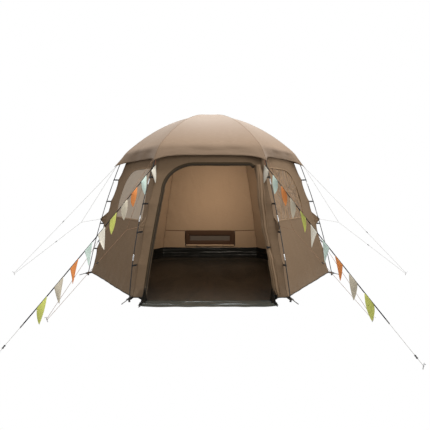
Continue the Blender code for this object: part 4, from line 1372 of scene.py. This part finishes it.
def lip_mesh():
    """Front wall of the tray, let down and laid out before the doorway, with its two gussets."""
    front = TRAY_RADIUS * HALF_SIDE_COSINE
    left, right = DOOR_GAP

    def place(across, down):
        x = left + (right - left) * across
        y = -front + 0.012 - (LIP_REACH - front + 0.028) * (1.0 - down)
        reach = 1.0 - down
        edge = min(x - left, right - x)
        ridge = sum(rise * peak(reach - middle, breadth) for rise, middle, breadth in LIP_FOLDS)
        ridge *= 0.8 + 0.5 * ripples(x * 2.4, reach * 2.0, 4.0)
        wave = 0.004 * (1.0 + ripples(x * 6.0, y * 5.0, 6.0))
        curl = 0.02 * math.exp(-edge / 0.05) * reach
        bow = 0.012 * math.sin(x * 3.0 + 1.0) * reach
        return Vector((x, y + bow * 0.5, 0.003 + ridge + wave * reach + curl)), (x, y)

    flap = face_away(laid_sheet(80, 24, place), FAR_BELOW)
    gussets = [painted(gusset_mesh(end, way, reach), 1)
               for end, way, reach in zip(DOOR_GAP, (-1, 1), LIP_TIPS)]
    return joined([flap, *gussets])


def make_groundsheet():
    floor = put("groundsheet_floor", floor_mesh(), cloths("floor"), ["groundsheet"])
    upstand = put("groundsheet_wall", upstand_mesh(), cloths("upstand"), thick=TAPE_THICK)
    lip = put("groundsheet_lip", lip_mesh(), cloths("lip", "upstand"), thick=TAPE_THICK)


# Poles, hub and feet

def leg_point(height, corner):
    """Point on a leg; a leg that is sprung out bulges most half way up its lean."""
    share = height / BEND_START
    bulge = LEG_SPRUNG_OUT.get(corner, 0.0) * 4 * share * (1 - share)
    return polar(bowed(LEG_SHAPE, height) + bulge, CORNERS[corner], height)


def roof_pole_point(radius, angle):
    """Point on a roof pole's middle line."""
    along, height = roof_point(radius, ROOF_POLE_DEPTH)
    return polar(along, angle, height)


def leg_path(corner):
    """Leg from its foot up the lean and round the shoulder to its joint with the roof pole."""
    angle = CORNERS[corner]
    points = [leg_point(LEG_BOTTOM + (BEND_START - LEG_BOTTOM) * step / 24, corner) for step in range(25)]
    start, end = points[-1], roof_pole_point(JOINT_RADIUS, angle)
    slope = LEG_SHAPE[1] + 2 * LEG_SHAPE[2] * BEND_START + 4 * LEG_SPRUNG_OUT.get(corner, 0.0) / BEND_START
    start_way = polar(-slope, angle, 1.0).normalized()
    end_way = polar(-1.0, angle, 2 * ROOF_DROP * JOINT_RADIUS / ROOF_SCALE ** 2).normalized()
    reach = (end - start).length / 3
    bend = interpolate_bezier(start, start + start_way * reach, end - end_way * reach, end, 22)
    return points, list(bend)[1:]


def sleeve_mesh(low, high, radius):
    """Bright sleeve on a rod: chamfered ends and a punched ring near each."""
    stops = (0.0, 0.03, 0.14, 0.16, 0.19, 0.21, 0.79, 0.81, 0.84, 0.86, 0.97, 1.0)
    radii = (0.78, 1.0, 1.0, 0.93, 0.93, 1.0, 1.0, 0.93, 0.93, 1.0, 1.0, 0.78)
    return rod_mesh([low.lerp(high, stop) for stop in stops], [radius * part for part in radii], sides=20)


def clip_mesh(height, corner):
    """Hook that snaps round a leg, its neck, and the webbing that is sewn to the wall corner."""
    angle = CORNERS[corner]
    centre = leg_point(height, corner)
    outward = polar(1.0, angle, 0.0)
    aside = polar(0.0, angle, 0.0, 1.0)
    up = (leg_point(height + 0.01, corner) - leg_point(height - 0.01, corner)).normalized()
    hook = []
    for step in range(15):
        turn = math.radians(180 - 150 + 300 * step / 14)
        hook.append(centre + outward * math.cos(turn) * 0.0085 + aside * math.sin(turn) * 0.0085)
    shell = [rod_mesh([point + up * lift for point in hook], 0.0024, sides=8) for lift in (-0.010, 0.010)]

    def band_place(around, along):
        point = hook[round(around * 14)]
        return point + up * (along - 0.5) * 0.024, (around, along)

    shell.append(thickened(laid_sheet(14, 1, band_place), thickness=0.002))
    wall = corner_point(corner, height, 0.002)
    neck = centre - outward * 0.010
    seat = neck.lerp(wall, 0.42)
    size = (0.020, 0.0055, (seat - neck).length)
    shell.append(block_mesh(size, aimed((neck + seat) / 2, seat - neck), round_edges=0.0015))
    shell.append(block_mesh((0.026, 0.008, 0.007), aimed(seat, seat - neck), round_edges=0.002))
    hard = joined([painted(part, 0) for part in shell])

    def web_place(across, along):
        point = seat.lerp(wall - outward * 0.004, along)
        width = 0.019 + 0.012 * max(along - 0.75, 0.0) * 4
        lift = 0.0008 + 0.002 * arc(along)
        return point + up * (across - 0.5) * width + aside * lift, (across * width, along * 0.05)

    web = thickened(laid_sheet(3, 10, web_place), thickness=0.0016)
    return joined([hard, painted(web, 1)])


def make_poles():
    shape = bpy.context.scene.yurt_shape
    for corner, angle in CORNERS.items():
        lean, bend = leg_path(corner)
        joint = len(bend) - 5
        rod = rod_mesh(lean + bend[:joint + 1], shape.rod, sides=16)
        put("leg_rod_" + corner, rod, cloths("rod"), ["leg_pole_" + corner],
            smooth_angle=ROD_EDGE)
        ends = [[leg_point(height + way * SLEEVE_LENGTH / 2, corner) for way in (-1, 1)]
                for height in LEG_SLEEVES]
        ends += [[roof_pole_point(radius + way * SLEEVE_LENGTH * ROOF_SLOPE_SHARE, angle) for way in (-1, 1)]
                 for radius in ROOF_SLEEVES]
        sleeves = [sleeve_mesh(low, high, shape.sleeve) for low, high in ends]
        top = rod_mesh(bend[joint:], shape.sleeve, sides=20)
        put("pole_sleeves_" + corner, joined(sleeves + [top]), cloths("steel"),
            smooth_angle=ROD_EDGE)
        inner, outer = SOCKET_REACH + 0.001, JOINT_RADIUS - 0.0015
        along = [roof_pole_point(inner + (outer - inner) * step / 30, angle) for step in range(31)]
        put("roof_rod_" + corner, rod_mesh(along, shape.rod), cloths("rod"),
            ["roof_pole_" + corner], smooth_angle=ROD_EDGE)
        clips = joined([clip_mesh(height, corner) for height in CLIPS])
        put("pole_clips_" + corner, clips, cloths("plastic", "webbing"),
            smooth_angle=FITTING_EDGE)
    hub = frame["nodes"]["roof_hub"].data.materials
    hub.clear()
    hub.append(cloths("plastic")[0])


def peg_mesh(point, head, radius, hook):
    """Wire peg with its top bent over by the width of its hook; point is at the ground."""
    way = (head - point).normalized()
    side = Vector((way.x, way.y, 0.0))
    side = (side if side.length > 0.01 else Vector((1.0, 0.0, 0.0))).normalized()
    shaft = [point.lerp(head, step / 6) for step in range(7)]
    bend = []
    for step in range(1, 9):
        turn = math.radians(22 * step)
        bend.append(head + side * (1 - math.cos(turn)) * hook / 2 + way * math.sin(turn) * hook / 2)
    return rod_mesh(shaft + bend, radius, sides=10)


def foot_web(wall, peg_top, aside):
    """Webbing from the wall's foot to the peg's ring, beside the pole's foot."""
    def place(across, along):
        point = wall.lerp(peg_top, along) - UP * 0.004 * arc(along)
        width = 0.024 - 0.004 * along
        return point + UP * (across - 0.5) * width + aside, (across * 0.024, along * 0.1)

    return laid_sheet(3, 10, place)


def make_feet():
    for corner, angle in CORNERS.items():
        base = leg_point(FOOT_TOP / 2, corner)
        base.z = 0.0
        parts = [painted(turned_mesh(FOOT_PROFILE, Matrix.Translation(base)), 0)]
        wall = polar(bowed(WALL_SHAPE, WALL_BOTTOM) + 0.002, angle, 0.052)
        peg_top = polar(FOOT_PEG_TOP[0], angle, FOOT_PEG_TOP[1])
        aside = polar(0.0, angle, 0.0, 1.0)
        # The second web is the first one moved across the foot
        webs = [foot_web(wall, peg_top, aside * FOOT_WEB_ASIDE) for _ in range(2)]
        bmesh.ops.translate(webs[1], vec=aside * -2 * FOOT_WEB_ASIDE, verts=webs[1].verts)
        parts += [painted(thickened(web, thickness=0.0014), 1) for web in webs]
        ring = ring_path(peg_top, aside * 0.017, polar(0.012, angle, 0.0), 24)
        parts.append(painted(rod_mesh(ring, 0.0022, sides=8), 2))
        point = polar(FOOT_PEG_POINT[0], angle, FOOT_PEG_POINT[1])
        head = peg_top + (peg_top - point).normalized() * 0.014
        parts.append(painted(peg_mesh(point, head, *FOOT_PEG), 2))
        put("corner_foot_piece_" + corner, joined(parts), cloths("plastic", "webbing", "rod"),
            ["corner_foot_" + corner], smooth_angle=FITTING_EDGE)


# Guy lines

def slider_mesh(middle, way):
    """Line slider: a small plate with rounded ends and two lugs."""
    matrix = aimed(middle, way)
    plate = block_mesh((0.008, 0.012, 0.035), matrix, round_edges=0.0028)
    lugs = [block_mesh((0.012, 0.014, 0.006), matrix @ Matrix.Translation(UP * lift), round_edges=0.002)
            for lift in (0.012, -0.012)]
    return joined([plate, *lugs])


def loop_round(middle, way, radius, thick):
    """Loop of line round a peg."""
    side, over = path_frames([middle, middle + way])[0]
    return rod_mesh(ring_path(middle, side * radius, over * radius, 16), thick, sides=6)


def tab_mesh(corner):
    """Triangle of cloth that draws a guy line's bridle out from the wall corner."""
    tip = polar(TAB_TIP[0], CORNERS[corner], TAB_TIP[1])
    aside = polar(0.0, CORNERS[corner], 0.0, 1.0)

    def place(across, out):
        wall = corner_point(corner, TAB_BOTTOM + (TAB_TOP - TAB_BOTTOM) * across, 0.006)
        scoop = 0.03 * arc(across) * out * (1 - out)
        point = wall.lerp(tip + UP * (across - 0.5) * 0.014, out ** 0.9)
        ripple = 0.003 * math.sin(across * 18.0) * arc(out)
        return point + aside * ripple - UP * scoop * (across - 0.5), (across * 0.22, out * 0.1)

    return laid_sheet(16, 10, place)


def make_guys():
    shape = bpy.context.scene.yurt_shape
    for corner, angle in CORNERS.items():
        front = corner.startswith("front")
        away = FRONT_PEG_RADIUS if front else SIDE_PEG_RADIUS
        fork_radius, fork_height = FRONT_BRIDLE if front else SIDE_BRIDLE
        peg_angle = angle + PEG_TURN.get(corner, 0.0)
        foot = polar(away, peg_angle, PEG_BOTTOM)
        head = polar(away + PEG_TILT, peg_angle, PEG_HEIGHT)
        line_end, bridle_end = foot.lerp(head, 0.6), foot.lerp(head, 0.4)
        tip = polar(TIP_RADIUS, angle, TIP_HEIGHT)
        fall = (line_end - tip).normalized()
        fork = polar(fork_radius, (angle + peg_angle) / 2, fork_height)
        tab_tip = polar(TAB_TIP[0], angle, TAB_TIP[1])
        start = tip + fall * 0.012
        parts = []
        for first, last in ((start, line_end), (start, fork), (fork, bridle_end), (tab_tip, fork)):
            taut = [first.lerp(last, step / 10) for step in range(11)]
            parts.append(painted(rod_mesh(taut, shape.line, sides=8), 0))
        way = (head - foot).normalized()
        for middle in (line_end, bridle_end):
            parts.append(painted(loop_round(middle, way, PEG_LOOP, THIN_LINE), 0))
        shares = SLIDERS_AT.get(corner, USUAL_SLIDERS_AT)
        for first, last, share in ((start, line_end, shares[0]), (fork, bridle_end, shares[1])):
            parts.append(painted(slider_mesh(first.lerp(last, share), last - first), 1))
        ring = ring_path(tip + fall * 0.006, fall * 0.008, UP * 0.008, 16)
        parts.append(painted(rod_mesh(ring, 0.0014, sides=6), 1))
        parts.append(painted(peg_mesh(foot, head - way * 0.010, *LINE_PEG), 2))
        line = "front_line" if front else "line"
        put("guy_line_" + corner, joined(parts), cloths(line, "plastic", "steel"),
            ["guy_lines_" + corner], smooth_angle=FITTING_EDGE)
        tab = put("guy_tab_" + corner, tab_mesh(corner), cloths("canvas"), thick=shape.cloth)


# Pennant lines

def make_pennants():
    shape = bpy.context.scene.yurt_shape
    for name, mirror in (("left", -1), ("right", 1)):
        start = Vector((PENNANT_START.x * mirror, PENNANT_START.y, PENNANT_START.z))
        foot = PENNANT_PEG[name] + UP * PEG_BOTTOM
        head = PENNANT_PEG[name] + Vector((0.0, -PEG_TILT, PEG_HEIGHT))
        hold = foot.lerp(head, 0.5)
        way, length = (hold - start).normalized(), (hold - start).length

        def route(distance, start=start, way=way, length=length):
            share = min(max(distance / length, 0.0), 1.0)
            return start + way * distance - UP * (4 * PENNANT_SAG * share * (1 - share))

        tape_end = PENNANT_SPACING * (PENNANTS - 1) + TAPE_RUN_OUT
        side = way.cross(UP).normalized() * mirror
        over = side.cross(way) * mirror
        to_front = Vector((mirror, 0.0, 0.0))

        def tape_place(across, along):
            distance = -0.07 + (tape_end + 0.07) * along
            twist = 0.0006 * math.sin(distance * 9.0)
            point = route(distance) + over * (across - 0.5) * TAPE_WIDTH + side * twist
            return point, (across * TAPE_WIDTH, distance)

        tape = thickened(laid_sheet(2, 120, tape_place), thickness=0.0022)
        bare = [tape_end - 0.05 + (length - tape_end + 0.05) * step / 12 for step in range(13)]
        cord = rod_mesh([route(distance) for distance in bare], shape.line, sides=8)
        anchor = [route(-0.065), route(-0.09) + UP * 0.012, route(-0.10) + UP * 0.05]
        tie = rod_mesh(spread(anchor, 0.01), 0.0028, sides=8)
        peg = peg_mesh(foot, head - UP * 0.010, *LINE_PEG)
        slider = slider_mesh(route(length - 0.085), way)
        loop = loop_round(hold, (head - foot).normalized(), PEG_LOOP, THIN_LINE)
        parts = [painted(tape, 0), painted(cord, 1), painted(loop, 1), painted(tie, 2), painted(peg, 3),
                 painted(slider, 4)]
        line = put("pennant_tape_" + name, joined(parts),
                   cloths("webbing", "line", "tie", "steel", "plastic"),
                   ["pennant_line_" + name], smooth_angle=FITTING_EDGE)
        flags = []
        for index in range(PENNANTS):
            middle = PENNANT_SPACING * index
            first, last = route(middle - shape.pennant_width / 2), route(middle + shape.pennant_width / 2)
            swing = TIPS_SWING_IN[index % len(TIPS_SWING_IN)]
            tip = route(middle) - UP * shape.pennant_drop + side * swing
            phase = index * 1.9 + mirror
            ahead = side * (0.016 if index == 0 else 0.0)

            def flag_place(across, up, first=first, last=last, tip=tip, phase=phase, ahead=ahead):
                share = up ** PENNANT_FULLNESS
                turned = (last - first).normalized().lerp(to_front, PENNANT_TURN * (1.0 - up)).normalized()
                breadth = turned * shape.pennant_width * (across - 0.5) * share
                point = tip.lerp((first + last) / 2, up) + breadth + ahead
                billow = 0.012 * arc(up) * math.cos(math.pi * (across - 0.5) + phase * 0.4)
                flutter = 0.005 * (1 - up) * math.sin(phase + up * 4.0)
                flutter += 0.002 * math.sin(across * 9.0 + phase) * up
                spot = (shape.pennant_width * (across - 0.5) * share, up * shape.pennant_drop)
                return point + side * (billow + flutter * (1.0 - up) + 0.002 * up), spot

            flag = laid_sheet(12, 18, flag_place)
            bmesh.ops.remove_doubles(flag, verts=flag.verts, dist=SAME_POINT)
            flags.append(painted(flag, index % len(PENNANT_COLOURS)))
        cloth = put("pennants_" + name, joined(flags), cloths(*PENNANT_COLOURS),
                    thick=TAPE_THICK)


# Stage

IMAGE_PIXELS = 430
FOCAL_PIXELS = 432.0
VIEW_CENTRE = (210.0, 192.2)
SENSOR = 36.0
CAMERA_PLACE = (0.0, -7.08, 1.36)
FLOOR_SIZE = 40.0
FLOOR_SHADE = 0.38
SKY_STRENGTH = 0.41
LIGHTS = (
    ("Overhead", (0.7, 0.0, 7.5), (0.0, 0.0, 1.0), 5.0, 730.0),
    ("Front Right", (4.0, -4.6, 2.9), (0.5, 0.0, 0.9), 2.4, 88.0),
    ("Left", (-6.5, -3.2, 3.0), (0.0, 0.0, 1.0), 3.0, 34.0),
    ("Inside", (0.45, -0.75, 1.45), (-0.1, 1.6, 0.9), 0.7, 12.5, (1.0, 0.88, 0.74), 90),
)


def add_light(name, place, target, size, power, colour=(1.0, 1.0, 1.0), spread=180):
    """Square soft light; size in metres, power in watts, spread in degrees."""
    light = bpy.data.lights.new(name, "AREA")
    light.shape = "RECTANGLE"
    light.size = light.size_y = size
    light.energy = power
    light.color = colour
    light.spread = math.radians(spread)
    lamp = bpy.data.objects.new(name, light)
    lamp.location = place
    lamp.rotation_euler = (Vector(target) - Vector(place)).to_track_quat("-Z", "Y").to_euler()
    lamp.visible_camera = False
    bpy.context.scene.collection.objects.link(lamp)


def make_stage():
    """White floor and sky as the camera sees them, soft lights, and the camera."""
    scene = bpy.context.scene
    build = bmesh.new()
    bmesh.ops.create_grid(build, x_segments=1, y_segments=1, size=FLOOR_SIZE)
    mesh = bpy.data.meshes.new("studio_floor")
    build.to_mesh(mesh)
    build.free()
    floor = bpy.data.objects.new("studio_floor", mesh)
    floor.location.z = -0.0005
    scene.collection.objects.link(floor)
    plain, tree, shader = new_material("Studio Floor", Roughness=0.9, Specular_IOR_Level=0.0,
                                       Emission_Color=(1.0, 1.0, 1.0, 1.0))
    seen = wire(tree, "LightPath").outputs["Is Camera Ray"]
    feed(tree, shader, {"Emission Strength": seen,
                        "Base Color": ramp(tree, seen, 0.0, 1.0, FLOOR_SHADE, 0.0)})
    mesh.materials.append(plain)
    world = bpy.data.worlds.new("Studio")
    world.use_nodes = True
    tree = world.node_tree
    seen = wire(tree, "LightPath").outputs["Is Camera Ray"]
    feed(tree, tree.nodes["Background"], {"Color": (1.0, 1.0, 1.0, 1.0),
                                          "Strength": ramp(tree, seen, 0.0, 1.0, SKY_STRENGTH, 1.0)})
    scene.world = world
    for light in LIGHTS:
        add_light(*light)
    scene.view_settings.view_transform = "Standard"
    camera = bpy.data.cameras.new("Camera")
    camera.sensor_width = SENSOR
    camera.lens = SENSOR * FOCAL_PIXELS / IMAGE_PIXELS
    camera.shift_x = (IMAGE_PIXELS / 2 - VIEW_CENTRE[0]) / IMAGE_PIXELS
    camera.shift_y = (VIEW_CENTRE[1] - IMAGE_PIXELS / 2) / IMAGE_PIXELS
    holder = bpy.data.objects.new("Camera", camera)
    holder.location = CAMERA_PLACE
    holder.rotation_euler = (math.radians(90.0), 0.0, 0.0)
    scene.collection.objects.link(holder)
    scene.camera = holder


# Operators, panel and registration

def tent_operator(name, label, text, work):
    """Operator class that makes one group of pieces."""
    def execute(self, context):
        work()
        return {"FINISHED"}

    return type("YURT_OT_" + name, (bpy.types.Operator,), {
        "bl_idname": "yurt." + name, "bl_label": label, "__doc__": text, "execute": execute,
        "bl_options": {"REGISTER", "UNDO"}})


STEPS = (
    tent_operator("stage", "Stage", "Floor, light and camera", make_stage),
    tent_operator("roof", "Roof", "Canopy with its seams and hem", make_roof),
    tent_operator("walls", "Walls", "Six hung walls with their hems", make_walls),
    tent_operator("seams", "Seams", "Corner seams and the seam of the lower panels", make_seams),
    tent_operator("windows", "Windows", "Film windows with their bindings", make_windows),
    tent_operator("vent", "Vent", "Low vent with its border, mesh and rolled cover", make_vent),
    tent_operator("door", "Door", "Doorway band, zip and the tied-back door", make_door),
    tent_operator("groundsheet", "Groundsheet", "Floor, tray wall and the flap at the doorway",
                  make_groundsheet),
    tent_operator("poles", "Poles", "Rods, joint sleeves, clips and hub", make_poles),
    tent_operator("feet", "Feet", "Pole feet with webbing and pegs", make_feet),
    tent_operator("guys", "Guy Lines", "Lines, bridles, tabs, sliders and pegs", make_guys),
    tent_operator("pennants", "Pennants", "Two pennant lines", make_pennants),
)


class YURT_PT_tent(bpy.types.Panel):
    """Buttons and settings of the yurt tent"""

    bl_label = "Yurt Tent"
    bl_idname = "YURT_PT_tent"
    bl_space_type = "VIEW_3D"
    bl_region_type = "UI"
    bl_category = "Yurt Tent"

    def draw(self, context):
        column = self.layout.column(align=True)
        for step in STEPS:
            column.operator(step.bl_idname)
        for settings in (context.scene.yurt_shape, context.scene.yurt_colours):
            for name in settings.bl_rna.properties.keys():
                if name not in ("rna_type", "name"):
                    column.prop(settings, name)


CLASSES = (YurtShape, YurtColours, *STEPS, YURT_PT_tent)


def register():
    for item in CLASSES:
        bpy.utils.register_class(item)
    bpy.types.Scene.yurt_shape = PointerProperty(type=YurtShape)
    bpy.types.Scene.yurt_colours = PointerProperty(type=YurtColours)


def unregister():
    del bpy.types.Scene.yurt_colours
    del bpy.types.Scene.yurt_shape
    for item in reversed(CLASSES):
        bpy.utils.unregister_class(item)


def main():
    register()
    for step in STEPS:
        group, name = step.bl_idname.split(".")
        getattr(getattr(bpy.ops, group), name)()


if __name__ == "__main__":
    main()
